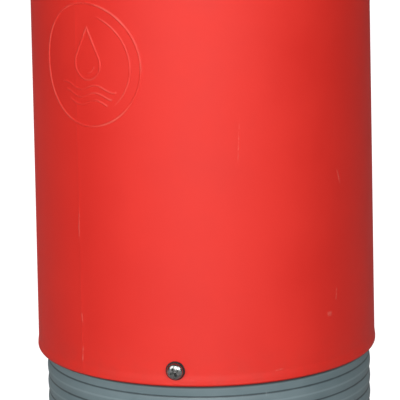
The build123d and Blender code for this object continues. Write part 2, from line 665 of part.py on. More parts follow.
def drain_washer():
    near = seat_y + DRAIN_BUSH_FLANGE_HEIGHT + REST_GAP
    far = near + DRAIN_WASHER
    ring = bar_along_y(DRAIN_HEAD, near, far, DRAIN_HEIGHT)
    return ring - bar_along_y(DRAIN_BORE + MOVING_GAP, near - OVERRUN, far + OVERRUN, DRAIN_HEIGHT)


def drain_plug():
    near = seat_y + DRAIN_BUSH_FLANGE_HEIGHT + DRAIN_WASHER + REST_GAP * 2
    far = near + DRAIN_HEAD_HEIGHT
    plug = bar_along_y(DRAIN_HEAD, near, far, DRAIN_HEIGHT)
    plug = fillet(plug.edges().group_by(Axis.Y)[-1], KNOB_ROUNDING)
    tip = seat_y - DRAIN_BOSS_DEPTH + DRAIN_PLUG_SETBACK
    plug += bar_along_y(DRAIN_BORE - RUNNING_FIT, tip, near + OVERRUN, DRAIN_HEIGHT)
    key_half = DRAIN_KEY / 2
    z_span = (DRAIN_HEIGHT - key_half, DRAIN_HEIGHT + key_half)
    plug += block((-key_half, key_half), (far - OVERRUN, far + DRAIN_KEY_HEIGHT), z_span)
    return plug


# ---- carry handle --------------------------------------------------------------------------------------
def carry_handle():
    corners = [
        (-HANDLE_END_X, HANDLE_PIVOT_Y, pivot_z),
        (-HANDLE_LEG_X, HANDLE_PIVOT_Y, pivot_z),
        (-HANDLE_LEG_X, grip_y, pivot_z),
        (HANDLE_LEG_X, grip_y, pivot_z),
        (HANDLE_LEG_X, HANDLE_PIVOT_Y, pivot_z),
        (HANDLE_END_X, HANDLE_PIVOT_Y, pivot_z),
    ]
    path = FilletPolyline(*corners, radius=HANDLE_BEND)
    section = Plane(origin=path @ 0, z_dir=path % 0) * Circle(HANDLE_ROD)
    return sweep(section, path=path)


def handle_grip():
    half = GRIP_LENGTH / 2
    grip = bar_along_x(GRIP_RADIUS, -half, half, grip_y, pivot_z)
    grip = fillet(grip.edges().group_by(Axis.X)[0] + grip.edges().group_by(Axis.X)[-1], GRIP_ROUNDING)
    return grip - bar_along_x(HANDLE_ROD + PRESS_FIT, -half - OVERRUN, half + OVERRUN, grip_y, pivot_z)


def handle_brackets():
    brackets = []
    for side in (-1, 1):
        x_span = sorted((side * (BRACKET_X - BRACKET_WIDTH / 2), side * (BRACKET_X + BRACKET_WIDTH / 2)))
        round_radius = HANDLE_ROD + BRACKET_EYE
        ear = bar_along_x(round_radius, x_span[0], x_span[1], HANDLE_PIVOT_Y, pivot_z)
        ear_span = (HANDLE_PIVOT_Y - round_radius, HANDLE_PIVOT_Y + round_radius)
        ear += block(x_span, ear_span, (cap_top, pivot_z))
        foot_span = (HANDLE_PIVOT_Y - BRACKET_LENGTH / 2, HANDLE_PIVOT_Y + BRACKET_LENGTH / 2)
        ear += block(x_span, foot_span, (cap_top, cap_top + BRACKET_BASE))
        hole = HANDLE_ROD + RUNNING_FIT
        ear -= bar_along_x(hole, x_span[0] - OVERRUN, x_span[1] + OVERRUN, HANDLE_PIVOT_Y, pivot_z)
        brackets.append(ear)
    low, high = cap_top - OVERRUN, cap_top + BRACKET_BASE + OVERRUN
    holes = [disc(BRACKET_SCREW_RADIUS + SCREW_HOLE, low, high, x, y) for x, y in bracket_screw_places()]
    return Compound([ear - holes for ear in brackets])


def handle_bracket_screws():
    screw = pan_head_screw(BRACKET_SCREW_RADIUS, BRACKET_SCREW_HEAD, BRACKET_SCREW_HEAD_HEIGHT,
                           BRACKET_SCREW_LENGTH + BRACKET_BASE - OVERRUN)
    return Compound([Pos(x, y, cap_top + BRACKET_BASE) * screw for x, y in bracket_screw_places()])


NODES = {
    "ballast_tank": ballast_tank,
    "rubber_feet": rubber_feet,
    "outer_sleeve": outer_sleeve,
    "reflective_band_lower": lambda: reflective_band(BAND_DROPS[0]),
    "reflective_band_upper": lambda: reflective_band(BAND_DROPS[1]),
    "sleeve_inserts": sleeve_inserts,
    "sleeve_washers": sleeve_washers,
    "sleeve_screws": sleeve_screws,
    "top_cap": top_cap,
    "top_cap_inserts": top_cap_inserts,
    "top_cap_screws": top_cap_screws,
    "lamp_socket": lamp_socket,
    "lid_hinge_pin": lid_hinge_pin,
    "service_lid": service_lid,
    "lid_gasket": lid_gasket,
    "latch_knob": latch_knob,
    "latch_cam": latch_cam,
    "latch_screw": latch_screw,
    "filler_gasket": filler_gasket,
    "filler_cap": filler_cap,
    "drain_bush": drain_bush,
    "drain_washer": drain_washer,
    "drain_plug": drain_plug,
    "carry_handle": carry_handle,
    "handle_grip": handle_grip,
    "handle_brackets": handle_brackets,
    "handle_bracket_screws": handle_bracket_screws,
}


def main():
    os.makedirs("parts", exist_ok=True)
    for node, make in NODES.items():
        export_step(make(), f"parts/{node}.step")


main()
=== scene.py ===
import math

import bmesh
import bpy
import numpy as np
from mathutils import Matrix, Vector


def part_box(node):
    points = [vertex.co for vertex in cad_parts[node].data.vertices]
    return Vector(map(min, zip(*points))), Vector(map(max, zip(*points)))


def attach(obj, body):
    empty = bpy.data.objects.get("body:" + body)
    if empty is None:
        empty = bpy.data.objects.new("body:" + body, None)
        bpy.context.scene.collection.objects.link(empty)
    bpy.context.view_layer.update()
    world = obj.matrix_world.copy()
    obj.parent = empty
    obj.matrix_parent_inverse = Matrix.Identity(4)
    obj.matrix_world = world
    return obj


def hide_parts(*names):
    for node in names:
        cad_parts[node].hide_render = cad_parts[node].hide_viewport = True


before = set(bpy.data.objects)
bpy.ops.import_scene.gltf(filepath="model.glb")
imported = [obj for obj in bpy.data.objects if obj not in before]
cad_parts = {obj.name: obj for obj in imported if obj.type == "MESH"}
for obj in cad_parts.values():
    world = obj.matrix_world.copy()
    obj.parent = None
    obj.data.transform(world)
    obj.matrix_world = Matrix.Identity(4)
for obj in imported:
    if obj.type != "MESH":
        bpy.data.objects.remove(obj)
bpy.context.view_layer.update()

MM = 0.001
TURN = 2 * math.pi

# ---- camera ----
CAMERA_AZIMUTH = 10.5        # degrees round from the front, towards +X
CAMERA_ELEVATION = 13.11
CAMERA_ROLL = -1.13
CAMERA_DISTANCE = 3.12
CAMERA_LENS = 279.7          # on a 36 mm sensor
CAMERA_TARGET_ACROSS = -4.1 * MM
CAMERA_TARGET_HEIGHT = 356 * MM

# ---- sizes that the pieces share, read from the frame ----
sleeve_low, sleeve_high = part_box("outer_sleeve")
tank_low, tank_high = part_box("ballast_tank")
band_boxes = {name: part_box(name) for name in ("reflective_band_lower", "reflective_band_upper")}

# ---- sizes of the sleeve, the tank and the mark ----
RIM_BEAD = 0.7 * MM
RIM_BEAD_HEIGHT = 5.0 * MM
RIM_BEAD_RUNOUT = 8.0 * MM
LIP_ROUNDING = 3.6 * MM
# height of the painted shade along the underside of the sleeve's lip
LIP_SHADE_HEIGHT = 2.8 * MM
SLEEVE_WALL = 4.5 * MM
SLEEVE_FLANGE = 5.0 * MM
FLANGE_WIDTH = 37.0 * MM
SLEEVE_DRAFT = math.tan(math.radians(0.4))
TANK_WALL = 5.0 * MM
TANK_GAP = 4.0 * MM
RIB_PITCH = 16.8 * MM
RIB_DEPTH = 1.2 * MM
RIB_COUNT = 11
FIRST_GROOVE_DROP = 11.3 * MM
BAND_RECESS = 0.9 * MM
NECK_BORE = 26.0 * MM
NECK_OUTER = 31.0 * MM
rim_z = sleeve_low.z
flange_top = sleeve_high.z
rim_radius = 170.0 * MM
tank_radius = 163.5 * MM
TANK_SIDEWAYS = 1.8 * MM     # the foot sits off the sleeve's middle, within the play between them
screw_z = rim_z + 17.0 * MM

MARK_AZIMUTH = math.radians(-30.0)
MARK_Z = rim_z + 310.0 * MM
MARK_RADIUS = 60.5 * MM
MARK_LINE = 1.1 * MM
MARK_RELIEF = 0.75 * MM
MARK_ARC = 0.80              # inner arc's radius, as a share of the ring's


def sleeve_radius(z):
    """Radius of the drafted sleeve's outside at a height."""
    return rim_radius - (z - rim_z) * SLEEVE_DRAFT


# ---- mesh helpers ----
def mesh_object(name, vertices, faces, smooth_angle=35.0):
    """A new object at the origin, its faces turned outwards and smoothed below an angle."""
    mesh = bpy.data.meshes.new(name)
    mesh.from_pydata([tuple(v) for v in vertices], [], [tuple(f) for f in faces])
    return finish_mesh(name, mesh, smooth_angle)


def put_in_scene(name, data):
    """A new object in the scene, at the origin."""
    thing = bpy.data.objects.new(name, data)
    bpy.context.scene.collection.objects.link(thing)
    return thing


def finish_mesh(name, mesh, smooth_angle=35.0, merge=1e-6):
    """A new object from a mesh whose doubled points are merged, smoothed below an angle."""
    work = bmesh.new()
    work.from_mesh(mesh)
    bmesh.ops.remove_doubles(work, verts=work.verts, dist=merge)
    bmesh.ops.recalc_face_normals(work, faces=work.faces)
    limit = math.radians(smooth_angle)
    for face in work.faces:
        face.smooth = True
    for edge in work.edges:
        if len(edge.link_faces) == 2:
            edge.smooth = edge.calc_face_angle(0.0) < limit
    work.to_mesh(mesh)
    work.free()
    return put_in_scene(name, mesh)


def grid_faces(rows, columns, close_rows=False):
    """Quads over a (row, column) grid whose columns close round; the rows close too on a ring shape."""
    row_index = np.arange(rows if close_rows else rows - 1)
    column_index = np.arange(columns)
    a = row_index[:, None] * columns + column_index[None, :]
    b = row_index[:, None] * columns + (column_index[None, :] + 1) % columns
    up = ((row_index + 1) % rows)[:, None] * columns
    c = up + (column_index[None, :] + 1) % columns
    d = up + column_index[None, :]
    return np.stack([a, b, c, d], axis=-1).reshape(-1, 4)


def turned(profile, segments, centre=(0.0, 0.0)):
    """The points of a (radius, z) profile turned about Z, ring by ring."""
    angles = np.linspace(0, TURN, segments, endpoint=False)
    rings = np.array(profile, float)
    x = rings[:, 0][:, None] * np.cos(angles)[None, :] + centre[0]
    y = rings[:, 0][:, None] * np.sin(angles)[None, :] + centre[1]
    z = np.repeat(rings[:, 1][:, None], segments, axis=1)
    return np.stack([x, y, z], axis=-1).reshape(-1, 3)


def lathe(name, profile, segments=192, centre=(0.0, 0.0), smooth_angle=35.0):
    """Turns a closed (radius, z) profile about Z; points on the axis become poles."""
    rings = np.array(profile, float)
    vertices = turned(profile, segments, centre)
    on_axis = rings[0, 0] < 1e-9 and rings[-1, 0] < 1e-9
    faces = grid_faces(len(rings), segments, close_rows=not on_axis)
    return mesh_object(name, vertices, faces, smooth_angle)


def rounded(profile, radius, steps=4):
    """Rounds each corner of a closed profile, by at most a third of its shorter side."""
    points = [Vector(p) for p in profile]
    out = []
    for index, corner in enumerate(points):
        before = points[index - 1] - corner
        after = points[(index + 1) % len(points)] - corner
        reach = min(radius, before.length / 3, after.length / 3)
        if corner.x < 1e-9 or reach < 1e-7:
            out.append(tuple(corner))
            continue
        start = corner + before.normalized() * reach
        end = corner + after.normalized() * reach
        for step in range(steps + 1):
            t = step / steps
            point = start * (1 - t) ** 2 + corner * 2 * t * (1 - t) + end * t ** 2
            out.append(tuple(point))
    return out


def boolean(piece, cutter, operation):
    """Adds or cuts one closed mesh from another, and removes the cutter."""
    modifier = piece.modifiers.new("boolean", "BOOLEAN")
    modifier.operation = operation
    modifier.object = cutter
    modifier.solver = "EXACT"
    bake(piece)
    bpy.data.objects.remove(cutter)
    return piece


def bake(piece):
    """Puts the result of the piece's modifiers in its mesh."""
    bpy.context.view_layer.update()
    graph = bpy.context.evaluated_depsgraph_get()
    mesh = bpy.data.meshes.new_from_object(piece.evaluated_get(graph))
    piece.modifiers.clear()
    piece.data = mesh
    return piece


def round_bar(name, radius, low, high, centre=(0.0, 0.0), segments=64):
    """A plain cylinder along Z between two heights, used to cut or to add."""
    profile = [(0.0, low), (radius, low), (radius, high), (0.0, high)]
    return lathe(name, profile, segments, centre)


def refined(node, bevel=0.35 * MM, segments=2):
    """A smooth copy of a CAD node with its hard edges broken; it stands for that node."""
    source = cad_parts[node].data.copy()
    piece = finish_mesh(node + "_piece", source, 30.0, merge=2e-6)
    modifier = piece.modifiers.new("edge", "BEVEL")
    modifier.width = bevel
    modifier.segments = segments
    modifier.limit_method = "ANGLE"
    modifier.angle_limit = math.radians(40)
    modifier.use_clamp_overlap = True
    bake(piece)
    even_out(piece.data, 7 * MM)
    for face in piece.data.polygons:
        face.use_smooth = True
    piece.data.set_sharp_from_angle(angle=math.radians(50))
    return weigh_normals(piece)


def even_out(mesh, longest):
    """Splits long edges, so that masks which live on the vertices stay near the edges that cause them."""
    work = bmesh.new()
    work.from_mesh(mesh)
    for _ in range(5):
        bmesh.ops.triangulate(work, faces=work.faces)
        long_edges = [edge for edge in work.edges if edge.calc_length() > longest]
        if not long_edges:
            break
        bmesh.ops.subdivide_edges(work, edges=long_edges, cuts=1, use_grid_fill=False)
    bmesh.ops.triangulate(work, faces=work.faces)
    work.to_mesh(mesh)
    work.free()


def weigh_normals(piece):
    """Keeps flat faces flat in the shading, and leaves the turn to the narrow faces between them."""
    modifier = piece.modifiers.new("normals", "WEIGHTED_NORMAL")
    modifier.keep_sharp = True
    modifier.weight = 60
    return bake(piece)


def fit_out(piece, body, node, material):
    """Gives a finished piece its material, its body, and the CAD node that it stands for."""
    piece.data.materials.clear()
    piece.data.materials.append(material)
    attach(piece, body)
    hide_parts(node)
    return piece


# ---- shader helpers ----
def link(tree, source, target):
    """Joins an output socket to an input socket."""
    tree.links.new(source, target)


def math_node(tree, operation, first, second=None, third=None, clamp=False):
    """A Math node's output; each input is a number or a socket."""
    node = tree.nodes.new("ShaderNodeMath")
    node.operation = operation
    node.use_clamp = clamp
    for index, value in enumerate((first, second, third)):
        if value is None:
            continue
        if isinstance(value, (int, float)):
            node.inputs[index].default_value = value
        else:
            link(tree, value, node.inputs[index])
    return node.outputs[0]


def product(tree, *factors):
    """The product of two or more numbers or sockets."""
    result = factors[0]
    for factor in factors[1:]:
        result = math_node(tree, "MULTIPLY", result, factor)
    return result


def split_xyz(tree, vector):
    """The X, Y and Z outputs of a vector, by name."""
    node = tree.nodes.new("ShaderNodeSeparateXYZ")
    link(tree, vector, node.inputs[0])
    return node.outputs


def join_xyz(tree, **parts):
    """A vector from the sockets given for X, Y or Z; the rest are zero."""
    node = tree.nodes.new("ShaderNodeCombineXYZ")
    for axis, socket in parts.items():
        link(tree, socket, node.inputs[axis])
    return node.outputs[0]


def remap(tree, value, low, high, out_low=0.0, out_high=1.0):
    """Carries a value from one range into another with soft ends; a range may run downwards."""
    node = tree.nodes.new("ShaderNodeMapRange")
    node.interpolation_type = "SMOOTHSTEP"
    node.inputs["From Min"].default_value = low
    node.inputs["From Max"].default_value = high
    node.inputs["To Min"].default_value = out_low
    node.inputs["To Max"].default_value = out_high
    link(tree, value, node.inputs["Value"])
    return node.outputs["Result"]


def noise(tree, vector, scale, detail=3.0, roughness=0.5):
    """Cloudy noise between 0 and 1."""
    node = tree.nodes.new("ShaderNodeTexNoise")
    node.inputs["Scale"].default_value = scale
    node.inputs["Detail"].default_value = detail
    node.inputs["Roughness"].default_value = roughness
    link(tree, vector, node.inputs["Vector"])
    return node.outputs["Fac"]


def stretched(tree, vector, scale):
    """A vector scaled by its own amount along each axis."""
    node = tree.nodes.new("ShaderNodeMapping")
    node.inputs["Scale"].default_value = scale
    link(tree, vector, node.inputs["Vector"])
    return node.outputs["Vector"]


def mix_colour(tree, factor, first, second):
    """Blends two colours, each an (r, g, b) or a socket."""
    node = tree.nodes.new("ShaderNodeMix")
    node.data_type = "RGBA"
    if isinstance(factor, (int, float)):
        node.inputs["Factor"].default_value = factor
    else:
        link(tree, factor, node.inputs["Factor"])
    for name, value in (("A", first), ("B", second)):
        socket = [s for s in node.inputs if s.name == name and s.type == "RGBA"][0]
        if isinstance(value, tuple):
            socket.default_value = (*value, 1.0)
        else:
            link(tree, value, socket)
    return [s for s in node.outputs if s.type == "RGBA"][0]


def new_group(name, inputs, outputs):
    """A shader node group with named float inputs (name, default) and float outputs."""
    tree = bpy.data.node_groups.new(name, "ShaderNodeTree")
    for label, default in inputs:
        socket = tree.interface.new_socket(name=label, in_out="INPUT", socket_type="NodeSocketFloat")
        socket.default_value = default
    for label in outputs:
        tree.interface.new_socket(name=label, in_out="OUTPUT", socket_type="NodeSocketFloat")
    ends = tree.nodes.new("NodeGroupInput"), tree.nodes.new("NodeGroupOutput")
    where = tree.nodes.new("ShaderNodeTexCoord").outputs["Object"]
    return tree, ends[0].outputs, ends[1].inputs, where


def scaled(tree, vector, factor):
    """A vector times a socket's value."""
    node = tree.nodes.new("ShaderNodeVectorMath")
    node.operation = "SCALE"
    link(tree, vector, node.inputs[0])
    link(tree, factor, node.inputs["Scale"])
    return node.outputs["Vector"]


def grain_group():
    """Moulded texture: fine pebbling over a slow ripple, as a height."""
    inputs = [("Grain Scale", 900.0), ("Ripple", 0.4)]
    tree, given, out, where = new_group("moulded_grain", inputs, ["Height"])
    fine = noise(tree, scaled(tree, where, given["Grain Scale"]), 1.0, 2.0)
    slow = noise(tree, where, 22.0, 2.0)
    ripple = product(tree, slow, given["Ripple"])
    link(tree, math_node(tree, "MULTIPLY_ADD", fine, 0.25, ripple), out["Height"])
    return tree


def wear_group():
    """Handling marks: fine scratches that run mostly upright, and a cloudy rub, both as masks."""
    inputs = [("Scratches", 0.5), ("Cloud Scale", 9.0)]
    tree, given, out, where = new_group("handling_wear", inputs, ["Scratch", "Cloud"])
    upright = noise(tree, stretched(tree, where, (260.0, 260.0, 9.0)), 1.0, 4.0, 0.6)
    patch = noise(tree, where, 14.0, 2.0)
    lines = remap(tree, upright, 0.64, 0.74)
    where_rubbed = remap(tree, patch, 0.5, 0.68)
    link(tree, product(tree, lines, where_rubbed, given["Scratches"]), out["Scratch"])
    cloud = noise(tree, scaled(tree, where, given["Cloud Scale"]), 1.0, 4.0, 0.55)
    link(tree, remap(tree, cloud, 0.3, 0.7), out["Cloud"])
    return tree


def dust_group():
    """Road dust that thins out upwards from a level, broken up by noise, as a mask."""
    inputs = [("Level", 0.1), ("Fade", 0.2), ("Amount", 0.5)]
    tree, given, out, where = new_group("road_dust", inputs, ["Mask"])
    above = math_node(tree, "SUBTRACT", split_xyz(tree, where)["Z"], given["Level"])
    share = math_node(tree, "DIVIDE", above, given["Fade"], clamp=True)
    low = math_node(tree, "SUBTRACT", 1.0, share, clamp=True)
    speckle = remap(tree, noise(tree, where, 60.0, 5.0, 0.65), 0.35, 0.75)
    link(tree, product(tree, low, speckle, given["Amount"]), out["Mask"])
    return tree


def mark_group():
    """One handling mark on a round wall, by its place round (radians) and up, its half sizes and its lean."""
    inputs = [("Azimuth", 0.0), ("Height", 0.0), ("Half Width", 0.001), ("Half Length", 0.01), ("Lean", 0.0)]
    tree, given, out, where = new_group("single_mark", inputs, ["Mask"])
    split = split_xyz(tree, where)
    angle = math_node(tree, "ARCTAN2", split["X"], product(tree, split["Y"], -1.0))
    across = product(tree, math_node(tree, "SUBTRACT", angle, given["Azimuth"]), rim_radius)
    up = math_node(tree, "SUBTRACT", split["Z"], given["Height"])
    leaning = math_node(tree, "MULTIPLY_ADD", up, product(tree, given["Lean"], -1.0), across)
    wobble = math_node(tree, "MULTIPLY_ADD", noise(tree, where, 160.0, 3.0), 0.0016, -0.0008)
    side = math_node(tree, "ABSOLUTE", math_node(tree, "ADD", leaning, wobble))
    side_share = math_node(tree, "DIVIDE", side, given["Half Width"])
    end_share = math_node(tree, "DIVIDE", math_node(tree, "ABSOLUTE", up), given["Half Length"])
    inside = product(tree, remap(tree, side_share, 1.0, 0.2), remap(tree, end_share, 1.0, 0.5))
    broken = remap(tree, noise(tree, where, 230.0, 3.0), 0.32, 0.6)
    link(tree, product(tree, inside, broken), out["Mask"])
    return tree


def edge_group():
    """Edges where colour has rubbed off or polished, as a mask from how sharply the surface turns."""
    inputs = [("Onset", 0.53), ("Strength", 0.5)]
    tree, given, out, where = new_group("rubbed_edges", inputs, ["Mask"])
    turn = tree.nodes.new("ShaderNodeNewGeometry").outputs["Pointiness"]
    over = math_node(tree, "SUBTRACT", turn, given["Onset"])
    steep = math_node(tree, "MULTIPLY", over, 18.0, clamp=True)
    patch = remap(tree, noise(tree, where, 120.0, 4.0), 0.35, 0.65)
    link(tree, product(tree, steep, patch, given["Strength"]), out["Mask"])
    return tree


GRAIN = grain_group()
WEAR = wear_group()
DUST = dust_group()
MARK = mark_group()
EDGES = edge_group()


def use(tree, group, **values):
    """Places a shared group in a material with its own values; underscores in names stand for spaces."""
    node = tree.nodes.new("ShaderNodeGroup")
    node.node_tree = group
    for name, value in values.items():
        node.inputs[name.replace("_", " ")].default_value = value
    return node.outputs


def new_material(name, roughness=0.5, metallic=0.0, **constants):
    """A material's tree, its Principled shader and its object coordinates."""
    material = bpy.data.materials.new(name)
    material.use_nodes = True
    tree = material.node_tree
    shader = tree.nodes["Principled BSDF"]
    shader.inputs["Roughness"].default_value = roughness
    shader.inputs["Metallic"].default_value = metallic
    for label, value in constants.items():
        shader.inputs[label.replace("_", " ")].default_value = value
    where = tree.nodes.new("ShaderNodeTexCoord").outputs["Object"]
    return material, tree, shader, where


def bump(tree, shader, height, strength, distance):
    """Raises the shading by a height; the distance is in metres."""
    node = tree.nodes.new("ShaderNodeBump")
    node.inputs["Strength"].default_value = strength
    node.inputs["Distance"].default_value = distance
    link(tree, height, node.inputs["Height"])
    link(tree, node.outputs["Normal"], shader.inputs["Normal"])


# ---- materials ----
# azimuth (degrees from the front), height above the rim, half width, half length (mm), lean
SLEEVE_MARKS = [
    (-35.4, 152.0, 1.1, 18.0, 0.03),
    (-34.9, 58.0, 1.0, 6.0, -0.10),
    (-35.0, 22.0, 1.3, 9.0, 0.08),
    (61.0, 192.0, 1.3, 8.0, -0.35),
    (59.0, 76.0, 1.2, 7.0, 0.10),
    (55.5, 58.0, 4.5, 3.0, 0.0),
    (34.5, 12.5, 5.0, 1.2, 0.9),
    (22.0, 240.0, 0.8, 22.0, 0.05),
    (140.0, 300.0, 1.2, 40.0, -0.2),
    (-120.0, 420.0, 1.4, 26.0, 0.3),
    (-150.0, 90.0, 1.3, 30.0, 0.12),
    (175.0, 180.0, 1.1, 20.0, -0.4),
]


def red_polyethylene():
    """Sun-faded red moulding: painted highlight on the mark's crests, streaked, with painted shade along the
    rim's underside.
    """
    material, tree, shader, where = new_material("red_polyethylene", 0.42)
    wear = use(tree, WEAR, Scratches=0.5, Cloud_Scale=9.0)
    dust = use(tree, DUST, Level=rim_z - 0.01, Fade=0.05, Amount=0.22)
    edges = use(tree, EDGES, Onset=0.54, Strength=0.35)
    base = mix_colour(tree, wear["Cloud"], (0.76, 0.018, 0.009), (0.81, 0.023, 0.012))
    total = math_node(tree, "MULTIPLY", wear["Scratch"], 0.35)
    for azimuth, height, half_width, half_length, lean in SLEEVE_MARKS:
        mark = use(tree, MARK, Azimuth=math.radians(azimuth), Height=rim_z + height * MM,
                   Half_Width=half_width * MM, Half_Length=half_length * MM, Lean=lean)
        total = math_node(tree, "MAXIMUM", total, mark["Mask"])
    # painted highlight on the mark's raised lines, in patches; it joins the real scratches, scuffs and rubbed
    # edges below
    crest = tree.nodes.new("ShaderNodeAttribute")
    crest.attribute_name = "crest"
    rubbed = remap(tree, noise(tree, where, 26.0, 2.0), 0.42, 0.62, 0.15, 1.0)
    crest_highlight = product(tree, crest.outputs["Fac"], rubbed)
    wear_and_highlight_places = math_node(tree, "MAXIMUM", total, math_node(tree, "MAXIMUM", edges["Mask"], crest_highlight))
    wear_and_painted_light = mix_colour(tree, product(tree, wear_and_highlight_places, 0.5), base, (0.85, 0.17, 0.13))
    # painted shade: the lip's underside darkens to near black towards the rim
    lip = remap(tree, split_xyz(tree, where)["Z"], rim_z + LIP_SHADE_HEIGHT, rim_z + 0.2 * LIP_SHADE_HEIGHT, 0.0, 0.88)
    dusty = mix_colour(tree, dust["Mask"], wear_and_painted_light, (0.42, 0.06, 0.04))
    link(tree, mix_colour(tree, lip, dusty, (0.05, 0.004, 0.004)), shader.inputs["Base Color"])
    rough = math_node(tree, "MULTIPLY_ADD", wear["Cloud"], 0.08, 0.56)
    link(tree, math_node(tree, "MULTIPLY_ADD", total, 0.15, rough), shader.inputs["Roughness"])
    grain = use(tree, GRAIN, Grain_Scale=520.0, Ripple=1.6)
    height = math_node(tree, "MULTIPLY_ADD", total, 0.9, grain["Height"])
    bump(tree, shader, height, 0.35, 0.0006)
    return material


def grey_polyethylene(name, ribbed):
    """Satin blue-grey moulding; on the ribbed tank the grooves carry painted shade, the crests a painted
    highlight, and a painted shadow lies just under the sleeve's lip.
    """
    material, tree, shader, where = new_material(name, 0.5)
    wear = use(tree, WEAR, Scratches=0.7, Cloud_Scale=12.0)
    edges = use(tree, EDGES, Onset=0.53, Strength=0.4)
    base = mix_colour(tree, wear["Cloud"], (0.146, 0.205, 0.222), (0.182, 0.246, 0.265))
    if ribbed:
        height = split_xyz(tree, where)["Z"]
        below = math_node(tree, "SUBTRACT", rim_z - FIRST_GROOVE_DROP, height)
        share = math_node(tree, "FRACT", math_node(tree, "DIVIDE", below, RIB_PITCH))
        off_crest = math_node(tree, "ABSOLUTE", math_node(tree, "SUBTRACT", share, 0.5))
        speckle = noise(tree, where, 70.0, 4.0, 0.6)
        uneven = math_node(tree, "MULTIPLY_ADD", speckle, 0.10, -0.05)
        wavering = math_node(tree, "MULTIPLY_ADD", uneven, 0.4, off_crest)
        # painted shade in the grooves and a painted highlight on the crests
        groove = remap(tree, wavering, 0.41, 0.49)
        crest = remap(tree, wavering, 0.09, 0.03)
        # painted shadow just under the sleeve's lip
        under_lip_shadow = remap(tree, height, rim_z - 4.2 * MM, rim_z - 1.4 * MM)
        base = mix_colour(tree, product(tree, groove, 0.85), base, (0.03, 0.045, 0.052))
        base = mix_colour(tree, product(tree, crest, 0.45), base, (0.27, 0.35, 0.37))
        base = mix_colour(tree, product(tree, under_lip_shadow, 0.8), base, (0.03, 0.035, 0.04))
    dust = use(tree, DUST, Level=0.0, Fade=0.16, Amount=0.55)
    pale = math_node(tree, "MAXIMUM", product(tree, wear["Scratch"], 0.6), edges["Mask"])
    wear_and_painted_light = mix_colour(tree, pale, base, (0.34, 0.40, 0.41))
    link(tree, mix_colour(tree, dust["Mask"], wear_and_painted_light, (0.22, 0.20, 0.17)), shader.inputs["Base Color"])
    rough = math_node(tree, "MULTIPLY_ADD", wear["Cloud"], 0.1, 0.42)
    link(tree, math_node(tree, "MULTIPLY_ADD", dust["Mask"], 0.25, rough), shader.inputs["Roughness"])
    grain = use(tree, GRAIN, Grain_Scale=420.0, Ripple=0.8)
    bump(tree, shader, grain["Height"], 0.3, 0.0006)
    return material


def reflective_film():
    """White retroreflective film: a honeycomb of small sealed cells under a clear face."""
    material, tree, shader, _ = new_material("white_reflective_film", 0.28, Coat_Roughness=0.12)
    shader.inputs["Coat Weight"].default_value = 0.5
    cells = tree.nodes.new("ShaderNodeTexVoronoi")
    cells.feature = "DISTANCE_TO_EDGE"
    cells.inputs["Scale"].default_value = 1.0
    cells.inputs["Randomness"].default_value = 0.0
    uv = tree.nodes.new("ShaderNodeUVMap")
    uv.uv_map = "around"
    link(tree, uv.outputs["UV"], cells.inputs["Vector"])
    wall = remap(tree, cells.outputs["Distance"], 0.07, 0.02)
    wear = use(tree, WEAR, Scratches=0.8, Cloud_Scale=10.0)
    base = mix_colour(tree, wear["Cloud"], (0.70, 0.71, 0.72), (0.80, 0.81, 0.82))
    base = mix_colour(tree, product(tree, wall, 0.55), base, (0.50, 0.51, 0.53))
    link(tree, mix_colour(tree, wear["Scratch"], base, (0.35, 0.34, 0.33)), shader.inputs["Base Color"])
    link(tree, math_node(tree, "MULTIPLY_ADD", wall, 0.25, 0.26), shader.inputs["Roughness"])
    bump(tree, shader, wall, 0.15, 0.0002)
    return material


def black_nylon():
    """Fine-grained black moulding, greyed where it is handled."""
    material, tree, shader, _ = new_material("black_nylon", 0.5)
    wear = use(tree, WEAR, Scratches=0.8, Cloud_Scale=30.0)
    edges = use(tree, EDGES, Onset=0.52, Strength=0.5)
    base = mix_colour(tree, wear["Cloud"], (0.018, 0.018, 0.020), (0.032, 0.032, 0.034))
    pale = math_node(tree, "MAXIMUM", product(tree, wear["Scratch"], 0.5), edges["Mask"])
    link(tree, mix_colour(tree, pale, base, (0.12, 0.12, 0.12)), shader.inputs["Base Color"])
    link(tree, math_node(tree, "MULTIPLY_ADD", wear["Cloud"], 0.15, 0.40), shader.inputs["Roughness"])
    grain = use(tree, GRAIN, Grain_Scale=1400.0, Ripple=0.1)
    bump(tree, shader, grain["Height"], 0.5, 0.0003)
    return material


def black_rubber():
    """Matt black rubber, dusty where it is near the ground."""
    material, tree, shader, _ = new_material("black_rubber", 0.78, Specular_IOR_Level=0.3)
    wear = use(tree, WEAR, Scratches=0.3, Cloud_Scale=40.0)
    dust = use(tree, DUST, Level=0.0, Fade=0.02, Amount=0.7)
    base = mix_colour(tree, wear["Cloud"], (0.016, 0.016, 0.016), (0.035, 0.034, 0.033))
    link(tree, mix_colour(tree, dust["Mask"], base, (0.16, 0.14, 0.12)), shader.inputs["Base Color"])
    link(tree, math_node(tree, "MULTIPLY_ADD", wear["Cloud"], 0.15, 0.68), shader.inputs["Roughness"])
    grain = use(tree, GRAIN, Grain_Scale=1800.0, Ripple=0.2)
    bump(tree, shader, grain["Height"], 0.4, 0.0003)
    return material


def stainless_steel():
    """Cold-headed bright steel with turning lines and small stains."""
    material, tree, shader, where = new_material("stainless_steel", 0.25, 1.0)
    turned = noise(tree, stretched(tree, where, (300.0, 300.0, 1800.0)), 1.0, 3.0)
    spots = noise(tree, where, 500.0, 3.0)
    base = mix_colour(tree, remap(tree, spots, 0.35, 0.7), (0.46, 0.47, 0.46), (0.30, 0.31, 0.30))
    link(tree, base, shader.inputs["Base Color"])
    link(tree, math_node(tree, "MULTIPLY_ADD", turned, 0.22, 0.16), shader.inputs["Roughness"])
    bump(tree, shader, turned, 0.15, 0.0001)
    return material


